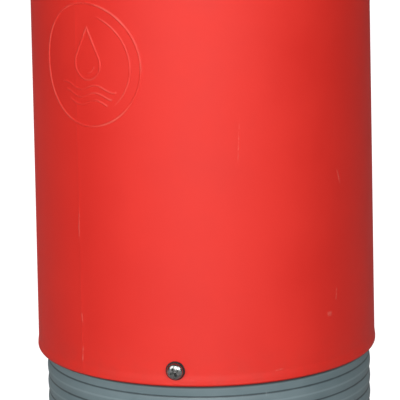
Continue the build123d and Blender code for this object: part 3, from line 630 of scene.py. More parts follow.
def galvanised_steel():
    """Zinc plating: dull crystals of slightly different greys, rubbed bright where it is handled."""
    material, tree, shader, where = new_material("galvanised_steel", 0.4, 1.0)
    crystals = tree.nodes.new("ShaderNodeTexVoronoi")
    crystals.inputs["Scale"].default_value = 260.0
    link(tree, where, crystals.inputs["Vector"])
    split = tree.nodes.new("ShaderNodeSeparateColor")
    link(tree, crystals.outputs["Color"], split.inputs[0])
    tone = split.outputs["Red"]
    edges = use(tree, EDGES, Onset=0.53, Strength=0.6)
    base = mix_colour(tree, tone, (0.42, 0.44, 0.46), (0.56, 0.58, 0.60))
    link(tree, mix_colour(tree, edges["Mask"], base, (0.72, 0.73, 0.74)), shader.inputs["Base Color"])
    link(tree, math_node(tree, "MULTIPLY_ADD", tone, 0.20, 0.42), shader.inputs["Roughness"])
    bump(tree, shader, noise(tree, where, 900.0, 3.0), 0.15, 0.0002)
    return material


def turned_brass():
    """Turned brass, browned in patches."""
    material, tree, shader, where = new_material("brass", 0.3, 1.0)
    stain = noise(tree, where, 180.0, 4.0)
    base = mix_colour(tree, remap(tree, stain, 0.4, 0.7), (0.72, 0.52, 0.22), (0.42, 0.28, 0.13))
    link(tree, base, shader.inputs["Base Color"])
    link(tree, math_node(tree, "MULTIPLY_ADD", stain, 0.3, 0.15), shader.inputs["Roughness"])
    bump(tree, shader, noise(tree, stretched(tree, where, (200.0, 2200.0, 200.0)), 1.0), 0.2, 0.0001)
    return material


RED = red_polyethylene()
GREY_TANK = grey_polyethylene("grey_polyethylene_ribbed", True)
GREY = grey_polyethylene("grey_polyethylene", False)
FILM = reflective_film()
NYLON = black_nylon()
RUBBER = black_rubber()
STAINLESS = stainless_steel()
ZINC = galvanised_steel()
BRASS = turned_brass()


# ---- geometry node trees ----
def new_geometry_tree(name, inputs):
    """A geometry tree with named inputs (name, socket type, default)."""
    tree = bpy.data.node_groups.new(name, "GeometryNodeTree")
    tree.interface.new_socket(name="Geometry", in_out="INPUT", socket_type="NodeSocketGeometry")
    for label, kind, default in inputs:
        socket = tree.interface.new_socket(name=label, in_out="INPUT", socket_type=kind)
        if default is not None:
            socket.default_value = default
    tree.interface.new_socket(name="Geometry", in_out="OUTPUT", socket_type="NodeSocketGeometry")
    given = tree.nodes.new("NodeGroupInput").outputs
    out = tree.nodes.new("NodeGroupOutput").inputs
    return tree, given, out


def close_tree(tree, geometry, given, out):
    """Ends a tree in Realize Instances and Set Material."""
    real = tree.nodes.new("GeometryNodeRealizeInstances")
    link(tree, geometry, real.inputs["Geometry"])
    paint = tree.nodes.new("GeometryNodeSetMaterial")
    link(tree, real.outputs["Geometry"], paint.inputs["Geometry"])
    link(tree, given["Material"], paint.inputs["Material"])
    link(tree, paint.outputs["Geometry"], out["Geometry"])


def on_circle(tree, angle, radius, height):
    """The place at an angle round Z, at a radius and a height."""
    x = product(tree, math_node(tree, "COSINE", angle), radius)
    y = product(tree, math_node(tree, "SINE", angle), radius)
    return join_xyz(tree, X=x, Y=y, Z=height)


def ring_tree():
    """Stands copies of one piece round a circle; each is turned to face outwards."""
    tree, given, out = new_geometry_tree("ring_of_pieces", [
        ("Piece", "NodeSocketObject", None),
        ("Count", "NodeSocketInt", 4),
        ("Circle Radius", "NodeSocketFloat", 0.1),
        ("Height", "NodeSocketFloat", 0.0),
        ("First Angle", "NodeSocketFloat", 0.0),
        ("Spin", "NodeSocketFloat", 0.0),
        ("Seed", "NodeSocketInt", 0),
        ("Material", "NodeSocketMaterial", None),
    ])
    points = tree.nodes.new("GeometryNodePoints")
    link(tree, given["Count"], points.inputs["Count"])
    index = tree.nodes.new("GeometryNodeInputIndex").outputs[0]
    share = math_node(tree, "DIVIDE", index, given["Count"])
    angle = math_node(tree, "MULTIPLY_ADD", share, TURN, given["First Angle"])
    link(tree, on_circle(tree, angle, given["Circle Radius"], given["Height"]), points.inputs["Position"])
    spin = tree.nodes.new("FunctionNodeRandomValue")
    spin.data_type = "FLOAT"
    floats = [s for s in spin.inputs if s.type == "VALUE"]
    floats[0].default_value = 0.0
    link(tree, given["Spin"], floats[1])
    link(tree, given["Seed"], spin.inputs["Seed"])
    random_turn = [s for s in spin.outputs if s.type == "VALUE" and s.enabled][0]
    outward = join_xyz(tree, Z=angle)
    own = join_xyz(tree, Z=random_turn)
    source = tree.nodes.new("GeometryNodeObjectInfo")
    link(tree, given["Piece"], source.inputs["Object"])
    copies = tree.nodes.new("GeometryNodeInstanceOnPoints")
    link(tree, points.outputs[0], copies.inputs["Points"])
    link(tree, source.outputs["Geometry"], copies.inputs["Instance"])
    to_rotation = tree.nodes.new("FunctionNodeEulerToRotation")
    link(tree, outward, to_rotation.inputs[0])
    link(tree, to_rotation.outputs[0], copies.inputs["Rotation"])
    turn = tree.nodes.new("GeometryNodeRotateInstances")
    link(tree, copies.outputs[0], turn.inputs["Instances"])
    own_rotation = tree.nodes.new("FunctionNodeEulerToRotation")
    link(tree, own, own_rotation.inputs[0])
    link(tree, own_rotation.outputs[0], turn.inputs["Rotation"])
    close_tree(tree, turn.outputs[0], given, out)
    return tree


def rib_tree():
    """A round wall about Z with rounded ribs between sharp grooves, each rib a little different."""
    tree, given, out = new_geometry_tree("ribbed_wall", [
        ("Radius", "NodeSocketFloat", 0.16),
        ("Depth", "NodeSocketFloat", 0.002),
        ("Pitch", "NodeSocketFloat", 0.02),
        ("Ribs", "NodeSocketInt", 10),
        ("Steps Per Rib", "NodeSocketInt", 12),
        ("Segments", "NodeSocketInt", 256),
        ("Sharpness", "NodeSocketFloat", 1.0),
        ("Unevenness", "NodeSocketFloat", 0.0),
        ("Bottom", "NodeSocketFloat", 0.0),
        ("Material", "NodeSocketMaterial", None),
    ])
    grid = tree.nodes.new("GeometryNodeMeshGrid")
    rows = product(tree, given["Ribs"], given["Steps Per Rib"])
    link(tree, math_node(tree, "ADD", given["Segments"], 1.0), grid.inputs["Vertices X"])
    link(tree, math_node(tree, "ADD", rows, 1.0), grid.inputs["Vertices Y"])
    link(tree, given["Segments"], grid.inputs["Size X"])
    link(tree, rows, grid.inputs["Size Y"])
    split = split_xyz(tree, tree.nodes.new("GeometryNodeInputPosition").outputs[0])
    column = math_node(tree, "MULTIPLY_ADD", given["Segments"], 0.5, split["X"])
    row = math_node(tree, "MULTIPLY_ADD", rows, 0.5, split["Y"])
    angle = product(tree, math_node(tree, "DIVIDE", column, given["Segments"]), TURN)
    ribs_up = math_node(tree, "DIVIDE", row, given["Steps Per Rib"])
    share = math_node(tree, "FRACT", math_node(tree, "ADD", ribs_up, 1e-5))
    from_crest = math_node(tree, "ABSOLUTE", math_node(tree, "MULTIPLY_ADD", share, 2.0, -1.0))
    fall = math_node(tree, "POWER", math_node(tree, "MINIMUM", from_crest, 1.0), given["Sharpness"])
    sweep = on_circle(tree, angle, 2.0, product(tree, math_node(tree, "FLOOR", ribs_up), 3.7))
    drift = math_node(tree, "SUBTRACT", noise(tree, sweep, 0.8, 1.0), 0.5)
    off_groove = math_node(tree, "SUBTRACT", 1.0, fall)
    radius = math_node(tree, "SUBTRACT", given["Radius"], product(tree, fall, given["Depth"]))
    radius = math_node(tree, "ADD", radius, product(tree, drift, given["Unevenness"], off_groove))
    height = math_node(tree, "MULTIPLY_ADD", ribs_up, given["Pitch"], given["Bottom"])
    put = tree.nodes.new("GeometryNodeSetPosition")
    link(tree, grid.outputs["Mesh"], put.inputs["Geometry"])
    link(tree, on_circle(tree, angle, radius, height), put.inputs["Position"])
    merge = tree.nodes.new("GeometryNodeMergeByDistance")
    link(tree, put.outputs[0], merge.inputs["Geometry"])
    merge.inputs["Distance"].default_value = 1e-6
    close_tree(tree, merge.outputs[0], given, out)
    return tree


RING = ring_tree()
RIBS = rib_tree()


def grow(name, tree, **values):
    """Runs a geometry tree with its own values and keeps the result as a plain mesh."""
    piece = put_in_scene(name, bpy.data.meshes.new(name))
    modifier = piece.modifiers.new("grow", "NODES")
    modifier.node_group = tree
    sockets = {item.name: item.identifier for item in tree.interface.items_tree if item.in_out == "INPUT"}
    for label, value in values.items():
        modifier[sockets[label.replace("_", " ")]] = value
    return bake(piece)


def ring_of(name, piece, material, count, circle, height, first_angle=0.0, spin=0.0, seed=1):
    """Copies of a piece round a circle as one mesh; the piece itself is removed."""
    made = grow(name, RING, Piece=piece, Count=count, Circle_Radius=circle, Height=height,
                First_Angle=first_angle, Spin=spin, Seed=seed, Material=material)
    bpy.data.objects.remove(piece)
    return tidy_smooth(made, 38.0)


# ---- sleeve ----
def drop_distance(u, v, bulb, height):
    """Signed distance to a water drop: a round bulb at the origin that runs up to a point."""
    slope = bulb / height
    flank = math.sqrt(1 - slope * slope)
    side = np.abs(u)
    along = -slope * side + flank * v
    round_part = np.hypot(side, v) - bulb
    tip_part = np.hypot(side, v - height)
    flank_part = flank * side + slope * v - bulb
    return np.where(along < 0, round_part, np.where(along > flank * height, tip_part, flank_part))


def raised(distance, line, edge=0.6 * MM):
    """A line of the given width along distance zero, with soft shoulders."""
    t = np.clip((line / 2 + edge - np.abs(distance)) / edge, 0, 1)
    return t * t * (3 - 2 * t)


def mark_relief(theta, z):
    """The moulded mark: a ring, a water drop and waves, as a share of its full height over the sleeve."""
    front = theta - MARK_AZIMUTH + math.pi / 2
    turn = (front + math.pi) % TURN - math.pi
    u = rim_radius * np.sin(turn)
    v = z - MARK_Z
    facing = np.abs(turn) < math.pi / 3
    ring = raised(np.hypot(u, v) - (MARK_RADIUS - MARK_LINE), MARK_LINE)
    round_turn = np.arctan2(v, u)
    ends = np.clip((1.15 - np.abs(round_turn - 0.25)) / 0.25, 0, 1)
    inner = raised(np.hypot(u, v) - MARK_RADIUS * MARK_ARC, MARK_LINE * 0.6) * 0.7 * ends
    drop = raised(drop_distance(u, v - MARK_RADIUS * 0.02, MARK_RADIUS * 0.26, MARK_RADIUS * 0.58), MARK_LINE)
    gleam_angle = np.arctan2(v - MARK_RADIUS * 0.02, u)
    gleam = raised(np.hypot(u, v - MARK_RADIUS * 0.02) - MARK_RADIUS * 0.15, MARK_LINE * 0.7)
    gleam = gleam * (gleam_angle < -0.3) * (gleam_angle > -1.5)
    waves = np.zeros_like(u)
    for level in (-0.36, -0.48, -0.60):
        crest = MARK_RADIUS * (level + 0.045 * np.sin(u / MARK_RADIUS * TURN * 1.5))
        inside = np.clip((MARK_RADIUS * (0.82 + level * 0.7) - np.abs(u)) / MM, 0, 1)
        waves = np.maximum(waves, raised(v - crest, MARK_LINE * 0.9) * inside)
    small = np.maximum.reduce([drop, gleam, waves]) * 0.7
    return np.maximum.reduce([ring, inner, small]) * facing


PARTING_LINES = (math.radians(-35.2), math.radians(144.8))
WAVINESS = 0.10 * MM
PARTING_RISE = 0.16 * MM
PARTING_WIDTH = 0.9 * MM
SCREW_DENT = 0.45 * MM
SCREW_DENT_REACH = 13 * MM


def sleeve_surface(theta, z):
    """Radius of the sleeve's outside, with its bead, parting line, slow waves and dents round the screws."""
    bead = np.clip((rim_z + RIM_BEAD_HEIGHT + RIM_BEAD_RUNOUT - z) / RIM_BEAD_RUNOUT, 0, 1)
    radius = sleeve_radius(z) + RIM_BEAD * bead * bead * (3 - 2 * bead)
    waviness = np.sin(3 * theta + 9 * z) * np.sin(11 * z + 0.6) + 0.6 * np.sin(7 * theta - 6 * z + 1.3)
    radius = radius + WAVINESS * waviness
    for azimuth in PARTING_LINES:
        away = rim_radius * np.abs((theta - (azimuth - math.pi / 2) + math.pi) % TURN - math.pi)
        radius = radius + PARTING_RISE * np.exp(-(away / PARTING_WIDTH) ** 2)
    for angle in (-math.pi / 2, math.pi / 2):
        across = rim_radius * ((theta - angle + math.pi) % TURN - math.pi)
        away = np.hypot(across, z - screw_z)
        radius = radius - SCREW_DENT * np.exp(-(away / SCREW_DENT_REACH) ** 2)
    return radius + mark_relief(theta, z) * MARK_RELIEF


MARK_HALF_SPAN = math.radians(22.5)
COLUMNS_OVER_MARK = 236
COLUMNS_ELSEWHERE = 116
ROWS_OVER_MARK = 212


def sleeve_columns():
    """Angles round the sleeve: close together over the mark, wider apart elsewhere."""
    half = MARK_HALF_SPAN
    middle = MARK_AZIMUTH - math.pi / 2
    fine = np.linspace(middle - half, middle + half, COLUMNS_OVER_MARK, endpoint=False)
    coarse = np.linspace(middle + half, middle - half + TURN, COLUMNS_ELSEWHERE, endpoint=False)
    return np.concatenate([fine, coarse])


def sleeve_rows():
    """Heights up the outside: close together over the mark, at the bead and at the bands' recesses."""
    low_mark = MARK_Z - MARK_RADIUS - 2 * MM
    high_mark = MARK_Z + MARK_RADIUS + 2 * MM
    edges = [np.linspace(rim_z + LIP_ROUNDING, rim_z + RIM_BEAD_HEIGHT + RIM_BEAD_RUNOUT, 12)]
    edges.append(np.linspace(rim_z + 15 * MM, screw_z + 20 * MM, 14))
    edges.append(np.linspace(screw_z + 28 * MM, low_mark - 6 * MM, 22))
    edges.append(np.linspace(low_mark, high_mark, ROWS_OVER_MARK))
    edges.append(np.linspace(high_mark + 6 * MM, band_boxes["reflective_band_lower"][0].z - 4 * MM, 10))
    return np.concatenate(edges)


def sleeve_shell():
    """The shell in rings: up the outside, over the top corner, and back down the inside to the rim's lip."""
    theta = sleeve_columns()
    rows = [(z, None) for z in sleeve_rows()]
    for low, high in band_boxes.values():
        bottom, top = low.z - 0.2 * MM, high.z + 0.2 * MM
        rows += [(bottom - 1.2 * MM, 0.0), (bottom - 0.3 * MM, -0.05 * MM), (bottom, -0.3 * MM)]
        rows += [(bottom + 0.02 * MM, -BAND_RECESS), (top - 0.02 * MM, -BAND_RECESS), (top, -0.3 * MM)]
        rows += [(top + 0.3 * MM, -0.05 * MM), (top + 1.2 * MM, 0.0)]
    z_list, radii = [], []
    for z, offset in rows:
        flat = np.full_like(theta, z)
        radius = sleeve_surface(theta, flat) if offset is None else sleeve_radius(flat) + offset
        z_list.append(flat)
        radii.append(radius)
    corner = 3.5 * MM
    top_radius = sleeve_radius(flange_top)
    for step in range(6):
        angle = step / 5 * math.pi / 2
        z_list.append(np.full_like(theta, flange_top - corner + corner * math.sin(angle)))
        radii.append(np.full_like(theta, top_radius - corner + corner * math.cos(angle)))
    opening = top_radius - FLANGE_WIDTH
    shoulder_z = flange_top - SLEEVE_FLANGE
    inner = [(opening, flange_top), (opening, shoulder_z)]
    inner += [(sleeve_radius(shoulder_z) - SLEEVE_WALL, shoulder_z)]
    inner += [(sleeve_radius(rim_z) - SLEEVE_WALL, rim_z + 0.6 * MM)]
    lip_centre = rim_radius + RIM_BEAD - LIP_ROUNDING
    for degrees in (0, 12, 24, 36, 48, 60, 70, 80, 88):
        turn = math.radians(degrees)
        lip_z = rim_z + LIP_ROUNDING * (1 - math.cos(turn))
        inner.append((lip_centre + LIP_ROUNDING * math.sin(turn), lip_z))
    for radius, z in inner:
        z_list.append(np.full_like(theta, z))
        radii.append(np.full_like(theta, radius))
    z = np.array(z_list)
    radius = np.array(radii)
    vertices = np.stack([radius * np.cos(theta), radius * np.sin(theta), z], axis=-1).reshape(-1, 3)
    faces = grid_faces(len(z_list), len(theta), close_rows=True)
    shell = mesh_object("sleeve_shell", vertices, faces, 40.0)
    # the mark's raised lines, kept for the red material's painted highlight
    crest = shell.data.attributes.new("crest", "FLOAT", "POINT")
    places = np.empty(len(shell.data.vertices) * 3)
    shell.data.vertices.foreach_get("co", places)
    x, y, height = places.reshape(-1, 3).T
    share = mark_relief(np.arctan2(y, x), height) * (np.hypot(x, y) > sleeve_radius(height) - MM)
    crest.data.foreach_set("value", np.clip(share, 0, 1))
    return shell


fit_out(sleeve_shell(), "root", "outer_sleeve", RED)


# ---- reflective bands ----
def band(node):
    """Film wrapped round the sleeve in its recess, with its overlap at the back and a UV map in cells."""
    low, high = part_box(node)
    segments, cell = 360, 4.2 * MM
    theta = np.linspace(0, TURN, segments + 1) + math.pi / 2 + 0.02
    overlap = theta > theta[-1] - 0.07
    rise = 0.75 * MM
    heights = [low.z, low.z + 0.3 * MM, low.z + 1.2 * MM, high.z - 1.2 * MM, high.z - 0.3 * MM, high.z]
    lift = [0.25 * MM, 0.62 * MM, rise, rise, 0.62 * MM, 0.25 * MM]
    under = 0.05 * MM
    verts = []
    for z, up in list(zip(heights, lift)) + [(high.z, 0.0), (low.z, 0.0)]:
        radius = sleeve_radius(z) - BAND_RECESS + under + up
        radius = radius + np.where(overlap & (up > 0.5 * MM), 0.12 * MM, 0.0)
        level = np.full_like(theta, z)
        verts.append(np.stack([radius * np.cos(theta), radius * np.sin(theta), level], axis=-1))
    rows, columns = len(verts), segments + 1
    faces = []
    for row in range(rows):
        above = (row + 1) % rows
        for column in range(segments):
            faces.append((row * columns + column, row * columns + column + 1,
                          above * columns + column + 1, above * columns + column))
    faces.append([row * columns for row in range(rows)])
    faces.append([row * columns + segments for row in range(rows)])
    piece = mesh_object(node + "_film", np.concatenate(verts), faces, 50.0)
    layer = piece.data.uv_layers.new(name="around")
    for loop in piece.data.loops:
        point = piece.data.vertices[loop.vertex_index].co
        angle = (math.atan2(point.y, point.x) - math.pi / 2 - 0.01) % TURN
        layer.data[loop.index].uv = (angle * rim_radius / cell, point.z / cell * 1.1547)
    return piece


for band_node in band_boxes:
    fit_out(band(band_node), "root", band_node, FILM)


# ---- tank ----
SEGMENTS = 320


def ballast_tank():
    """The ribbed foot from the rib tree, closed with the seat, the upper tank, the floor and the inside."""
    ribs_top = rim_z - FIRST_GROOVE_DROP
    ribs_bottom = ribs_top - RIB_COUNT * RIB_PITCH
    root = tank_radius - RIB_DEPTH
    ribs = grow("tank_ribs", RIBS, Radius=tank_radius, Depth=RIB_DEPTH, Pitch=RIB_PITCH, Ribs=RIB_COUNT,
                Steps_Per_Rib=14, Segments=SEGMENTS, Sharpness=1.9, Unevenness=0.5 * MM,
                Bottom=ribs_bottom, Material=GREY_TANK)
    seat = tank_radius - 0.3 * MM
    seat_top = screw_z + 17 * MM
    neck_shoulder = flange_top - SLEEVE_FLANGE
    floor = tank_low.z
    upper = sleeve_radius(seat_top) - SLEEVE_WALL - TANK_GAP
    top = sleeve_radius(neck_shoulder) - SLEEVE_WALL - TANK_GAP
    above = [(root, ribs_top), (root + 0.7 * MM, ribs_top + 3 * MM), (seat, ribs_top + 6 * MM),
             (seat, seat_top), (upper, seat_top + 4 * MM), (top, neck_shoulder - 4 * MM),
             (top - 1.2 * MM, neck_shoulder - 1.2 * MM), (top - 4 * MM, neck_shoulder), (0.0, neck_shoulder)]
    below = [(0.0, floor), (root - 9.5 * MM, floor), (root - 8 * MM, floor + 0.5 * MM),
             (root - 6.5 * MM, floor + 2 * MM), (root, ribs_bottom)]
    parts = [ribs]
    for name, profile in (("tank_above", above), ("tank_below", below)):
        parts.append(mesh_object(name, turned(profile, SEGMENTS), grid_faces(len(profile), SEGMENTS)))
    outside = join("tank_outside", parts, 2e-6)
    cavity_low, cavity_high = floor + TANK_WALL, neck_shoulder - TANK_WALL
    inner = root - TANK_WALL
    cavity = lathe("cavity", [
        (0.0, cavity_low), (inner - 8 * MM, cavity_low), (inner, cavity_low + 8 * MM), (inner, seat_top),
        (upper - TANK_WALL, seat_top + 4 * MM), (top - TANK_WALL, cavity_high), (0.0, cavity_high)], 96)
    tank = boolean(outside, cavity, "DIFFERENCE")
    neck_low, neck_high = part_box("filler_gasket")
    neck_y = (neck_low.y + neck_high.y) / 2
    neck_top = tank_high.z
    neck_low_z = cavity_high - MM
    neck_profile = rounded([(NECK_BORE, neck_low_z), (NECK_OUTER, neck_low_z), (NECK_OUTER, neck_top),
                            (NECK_BORE, neck_top)], 0.6 * MM)
    neck = lathe("neck", neck_profile, 96, (0.0, neck_y))
    hole = round_bar("neck_hole", NECK_BORE + 0.5 * MM, cavity_high - 2 * MM, neck_shoulder + MM,
                     (0.0, neck_y))
    tank = boolean(tank, hole, "DIFFERENCE")
    tank = boolean(tank, neck, "UNION")
    return sit_sideways(drain_pocket(tank))


def sit_sideways(tank):
    """Moves the ribbed wall within the play between tank and sleeve; the floor and its pockets stay."""
    for vertex in tank.data.vertices:
        point = vertex.co
        outward = (math.hypot(point.x, point.y) - (tank_radius - 12 * MM)) / (8 * MM)
        below = (rim_z + 22 * MM - point.z) / (12 * MM)
        point.x += TANK_SIDEWAYS * min(max(outward, 0.0), 1.0) * min(max(below, 0.0), 1.0)
    return tank


def along_y(piece, z):
    """Lays a piece drawn about Z along Y, at a height."""
    piece.data.transform(Matrix.Translation((0, 0, z)) @ Matrix.Rotation(-math.pi / 2, 4, "X"))
    return piece


def drain_pocket(tank):
    """Adds the drain's boss, cuts its pocket and bore, and cuts the feet's pockets in the floor."""
    bush_low, bush_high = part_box("drain_bush")
    axis_z = (bush_low.z + bush_high.z) / 2
    seat = bush_high.y - 3 * MM
    boss = along_y(round_bar("boss", 30 * MM, bush_low.y, tank_radius - 5 * MM), axis_z)
    tank = boolean(tank, boss, "UNION")
    profile = rounded([(0.0, seat), (25 * MM, seat), (25 * MM, tank_radius + 6 * MM),
                       (0.0, tank_radius + 6 * MM)], 1.5 * MM)
    tank = boolean(tank, along_y(lathe("pocket", profile, 96), axis_z), "DIFFERENCE")
    hole = along_y(round_bar("bush_hole", 15.02 * MM, bush_low.y - 2 * MM, seat + MM), axis_z)
    tank = boolean(tank, hole, "DIFFERENCE")
    feet_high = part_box("rubber_feet")[1]
    pocket = round_bar("foot_pocket", 18.05 * MM, 0.0, feet_high.z)
    cutter = ring_of("foot_pockets", pocket, GREY_TANK, 6, feet_high.x - 18 * MM, 0.0)
    tank = boolean(tank, cutter, "DIFFERENCE")
    return tidy_smooth(tank, 32.0)


def join(name, parts, merge):
    """Joins meshes that share their edges into one closed piece."""
    work = bmesh.new()
    for part in parts:
        work.from_mesh(part.data)
        bpy.data.objects.remove(part)
    mesh = bpy.data.meshes.new(name)
    work.to_mesh(mesh)
    work.free()
    return finish_mesh(name, mesh, 35.0, merge)


def tidy_smooth(piece, angle):
    """Smooth shading, with edges sharper than the angle kept sharp."""
    for face in piece.data.polygons:
        face.use_smooth = True
    piece.data.set_sharp_from_angle(angle=math.radians(angle))
    return piece


fit_out(ballast_tank(), "root", "ballast_tank", GREY_TANK).name = "tank_shell"


# ---- screws ----
def pan_head(name, radius, height, shank, length, recess=0.62):
    """A domed screw along +Z with a cross recess; its shank runs below zero."""
    profile = [(0.0, -length), (shank * 0.8, -length), (shank, -length + shank * 0.4)]
    profile += [(shank, 0.0), (radius, 0.0)]
    for step in range(9):
        angle = step / 8 * math.pi / 2
        profile.append((radius * math.cos(angle) ** 0.72, height * (0.28 + 0.72 * math.sin(angle))))
    profile[-1] = (0.0, height)
    screw = lathe(name, profile, 40, smooth_angle=50.0)
    for turn in (0, 1):
        slot = blade(radius * recess, radius * 0.15, height * 0.12, height * 1.2)
        slot.data.transform(Matrix.Rotation(turn * math.pi / 2, 4, "Z"))
        screw = boolean(screw, slot, "DIFFERENCE")
    return screw


def blade(reach, half, low, high):
    """The tapered wing of a cross-head driver."""
    bottom, top = reach * 0.3, reach * 1.15
    vertices = []
    for extent, z in ((bottom, low), (top, high)):
        vertices += [(-extent, -half, z), (extent, -half, z), (extent, half, z), (-extent, half, z)]
    faces = [(0, 3, 2, 1), (4, 5, 6, 7), (0, 1, 5, 4), (1, 2, 6, 5), (2, 3, 7, 6), (3, 0, 4, 7)]
    return mesh_object("blade", vertices, faces)


def stand_out(piece, distance=0.0):
    """Turns a piece drawn along +Z to point out along +X."""
    piece.data.transform(Matrix.Translation((distance, 0, 0)) @ Matrix.Rotation(math.pi / 2, 4, "Y"))
    return piece


def sleeve_screws():
    """The two M8 pan heads that hold the sleeve, front and back."""
    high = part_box("sleeve_screws")[1]
    head = 5.0 * MM
    as_driven = 0.45
    screw = stand_out(pan_head("screw", 8 * MM, head, 4 * MM, 24 * MM))
    screw.data.transform(Matrix.Rotation(as_driven, 4, "X"))
    return ring_of("sleeve_screw_set", screw, STAINLESS, 2, high.y - head, screw_z, math.pi / 2)


def sleeve_washers():
    """Sealing washers with rounded edges, pulled down onto the sleeve's curve."""
    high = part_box("sleeve_washers")[1]
    outer, hole, thick = 9.4 * MM, 4.2 * MM, 1.3 * MM
    profile = rounded([(hole, 0.0), (outer, 0.0), (outer, thick), (hole, thick)], 0.55 * MM, 5)
    washer = stand_out(lathe("washer", profile, 72))
    for vertex in washer.data.vertices:
        vertex.co.x -= vertex.co.y ** 2 / (2 * rim_radius)
    return ring_of("sleeve_washer_set", washer, RUBBER, 2, high.y - thick, screw_z, math.pi / 2)


fit_out(sleeve_screws(), "root", "sleeve_screws", STAINLESS)
fit_out(sleeve_washers(), "root", "sleeve_washers", RUBBER)


def top_cap_screws():
    """Four M6 pan heads on the cap's diagonals, each stopped at its own angle."""
    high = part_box("top_cap_screws")[1]
    radius, head = 5.2 * MM, 4 * MM
    screw = pan_head("cap_screw", radius, head, 3 * MM, 24 * MM)
    circle = (high.x - radius) * math.sqrt(2)
    return ring_of("top_cap_screw_set", screw, STAINLESS, 4, circle, high.z - head, math.pi / 4, TURN, 7)


fit_out(top_cap_screws(), "root", "top_cap_screws", STAINLESS)


def rubber_feet():
    """Round pads with two moulded grooves in the face that meets the ground."""
    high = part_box("rubber_feet")[1]
    outer = 18 * MM
    profile = [(0.0, 0.0)]
    for groove in (5 * MM, 10 * MM):
        profile += [(groove, 0.0), (groove + 0.3 * MM, 1.2 * MM), (groove + 1.9 * MM, 1.2 * MM),
                    (groove + 2.2 * MM, 0.0)]
    profile += [(outer - 1.2 * MM, 0.0), (outer - 0.3 * MM, 0.4 * MM), (outer, 1.3 * MM), (outer, high.z),
                (0.0, high.z)]
    pad = lathe("pad", profile, 64)
    return ring_of("rubber_feet_set", pad, RUBBER, 6, high.x - outer, 0.0)


fit_out(rubber_feet(), "root", "rubber_feet", RUBBER)


# ---- pieces that keep their CAD shape, with broken edges ----
def handle_grip():
    """A ribbed tube from the rib tree, closed with rounded ends and lined to the rod."""
    low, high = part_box("handle_grip")
    centre_y, centre_z = (low.y + high.y) / 2, (low.z + high.z) / 2
    radius, bore, end = (high.z - low.z) / 2, 5.02 * MM, 8 * MM
    ribs, segments = 12, 64
    half = (high.x - low.x) / 2
    pitch = (2 * half - 2 * end) / ribs
    wall = grow("grip_ribs", RIBS, Radius=radius, Depth=1.3 * MM, Pitch=pitch, Ribs=ribs, Steps_Per_Rib=8,
                Segments=segments, Sharpness=3.0, Unevenness=0.0, Bottom=-half + end, Material=NYLON)
    root = radius - 1.3 * MM
    profile = [(root, half - end), (radius - 0.3 * MM, half - end + MM), (radius, half - 5 * MM),
               (radius - 0.9 * MM, half - 1.2 * MM), (radius - 3 * MM, half), (bore + 0.4 * MM, half),
               (bore, half - 0.5 * MM)]
    profile += [(r, -z) for r, z in reversed(profile)]
    ends = mesh_object("grip_ends", turned(profile, segments), grid_faces(len(profile), segments))
    grip = join("handle_grip_ribbed", [wall, ends], 2e-6)
    grip.data.transform(Matrix.Translation((0, centre_y, centre_z)) @ Matrix.Rotation(math.pi / 2, 4, "Y"))
    return grip


fit_out(handle_grip(), "carry_handle", "handle_grip", NYLON)

CARRIED = [
    ("top_cap", "root", GREY, "grey_polyethylene", 0.8 * MM),
    ("lamp_socket", "root", NYLON, "black_nylon", 0.5 * MM),
    ("lid_hinge_pin", "root", STAINLESS, "stainless_steel", 0.3 * MM),
    ("drain_bush", "root", BRASS, "brass", 0.3 * MM),
    ("handle_brackets", "root", ZINC, "galvanised_steel", 0.5 * MM),
    ("handle_bracket_screws", "root", STAINLESS, "stainless_steel", 0.15 * MM),
    ("sleeve_inserts", "root", BRASS, "brass", 0.2 * MM),
    ("top_cap_inserts", "root", BRASS, "brass", 0.2 * MM),
    ("service_lid", "service_lid", GREY, "grey_polyethylene", 0.5 * MM),
    ("lid_gasket", "service_lid", RUBBER, "black_rubber", 0.3 * MM),
    ("latch_knob", "lid_latch", NYLON, "black_nylon", 0.5 * MM),
    ("latch_cam", "lid_latch", ZINC, "galvanised_steel", 0.3 * MM),
    ("latch_screw", "lid_latch", STAINLESS, "stainless_steel", 0.1 * MM),
    ("filler_gasket", "filler_gasket", RUBBER, "black_rubber", 0.3 * MM),
    ("filler_cap", "filler_cap", NYLON, "black_nylon", 0.5 * MM),
    ("drain_washer", "drain_washer", RUBBER, "black_rubber", 0.3 * MM),
    ("drain_plug", "drain_plug", NYLON, "black_nylon", 0.5 * MM),
    ("carry_handle", "carry_handle", ZINC, "galvanised_steel", 0.4 * MM),
]
for node, body, material, slot_name, edge in CARRIED:
    fit_out(refined(node, edge), body, node, material)


# ---- floor, light and camera ----
def floor():
    """A pale floor that the camera sees nearly white and that throws little light up."""
    mesh = bpy.data.meshes.new("floor")
    reach = 60.0
    mesh.from_pydata([(-reach, -reach, 0), (reach, -reach, 0), (reach, reach, 0), (-reach, reach, 0)], [],
                     [(0, 1, 2, 3)])
    plane = put_in_scene("floor", mesh)
    material, tree, shader, _ = new_material("pale_floor", 0.9)
    shader.inputs["Base Color"].default_value = (0.32, 0.32, 0.32, 1.0)
    shader.inputs["Specular IOR Level"].default_value = 0.0
    shader.inputs["Emission Strength"].default_value = 1.0
    seen = tree.nodes.new("ShaderNodeLightPath").outputs["Is Camera Ray"]
    link(tree, mix_colour(tree, seen, (0.0, 0.0, 0.0), (0.90, 0.90, 0.90)), shader.inputs["Emission Color"])
    mesh.materials.append(material)


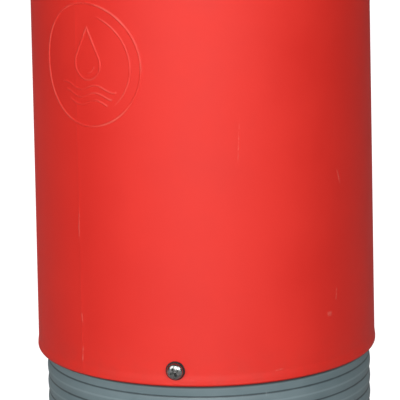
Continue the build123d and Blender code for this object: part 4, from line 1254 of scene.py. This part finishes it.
# name, azimuth and elevation (degrees), distance, size, power, height aimed at
LIGHTS = [
    ("key", 4.5, 14.0, 3.4, (1.3, 1.3), 56.0, 0.36),
    ("left_fill", -31.0, 20.0, 3.6, (1.4, 2.0), 37.0, 0.38),
    ("right_fill", 37.0, 20.0, 3.6, (1.4, 2.0), 41.0, 0.38),
    ("back_fill_left", 163.0, 46.0, 3.8, (2.4, 2.4), 62.0, 0.45),
    ("back_fill_right", -138.0, 46.0, 3.8, (2.4, 2.4), 58.0, 0.45),
]
ROOM_LIGHT = (0.06, 0.06, 0.06)


def soft_light(name, azimuth, elevation, distance, size, power, aim_height):
    """A rectangular light at an azimuth round from the front, facing the barrier, that cameras don't see."""
    data = bpy.data.lights.new(name, "AREA")
    data.shape = "RECTANGLE"
    data.size, data.size_y = size
    data.energy = power
    light = put_in_scene(name, data)
    turn, tilt = math.radians(azimuth), math.radians(elevation)
    out = Vector((math.sin(turn) * math.cos(tilt), -math.cos(turn) * math.cos(tilt), math.sin(tilt)))
    light.location = Vector((0, 0, aim_height)) + out * distance
    light.rotation_euler = out.to_track_quat("Z", "Y").to_euler()
    light.visible_camera = False


def studio():
    """A dim room that the camera sees as white, with large soft lights."""
    world = bpy.data.worlds.new("studio")
    bpy.context.scene.world = world
    world.use_nodes = True
    tree = world.node_tree
    seen = tree.nodes.new("ShaderNodeLightPath").outputs["Is Camera Ray"]
    sky = mix_colour(tree, seen, ROOM_LIGHT, (1.0, 1.0, 1.0))
    link(tree, sky, tree.nodes["Background"].inputs["Color"])
    for light in LIGHTS:
        soft_light(*light)
    bpy.context.scene.view_settings.view_transform = "Standard"


def camera():
    """A long lens from the front, a little above, rolled by a degree."""
    turn, tilt, roll = (math.radians(v) for v in (CAMERA_AZIMUTH, CAMERA_ELEVATION, CAMERA_ROLL))
    back = Vector((math.sin(turn) * math.cos(tilt), -math.cos(turn) * math.cos(tilt), math.sin(tilt)))
    level = Vector((math.cos(turn), math.sin(turn), 0.0))
    above = back.cross(level)
    right = level * math.cos(roll) + above * math.sin(roll)
    up = above * math.cos(roll) - level * math.sin(roll)
    target = level * CAMERA_TARGET_ACROSS + Vector((0, 0, CAMERA_TARGET_HEIGHT))
    data = bpy.data.cameras.new("camera")
    data.lens = CAMERA_LENS
    data.sensor_width = 36.0
    data.clip_end = 200.0
    eye = put_in_scene("camera", data)
    turned = Matrix((right, up, back)).transposed().to_4x4()
    eye.matrix_world = Matrix.Translation(target + back * CAMERA_DISTANCE) @ turned
    bpy.context.scene.camera = eye


floor()
studio()
camera()
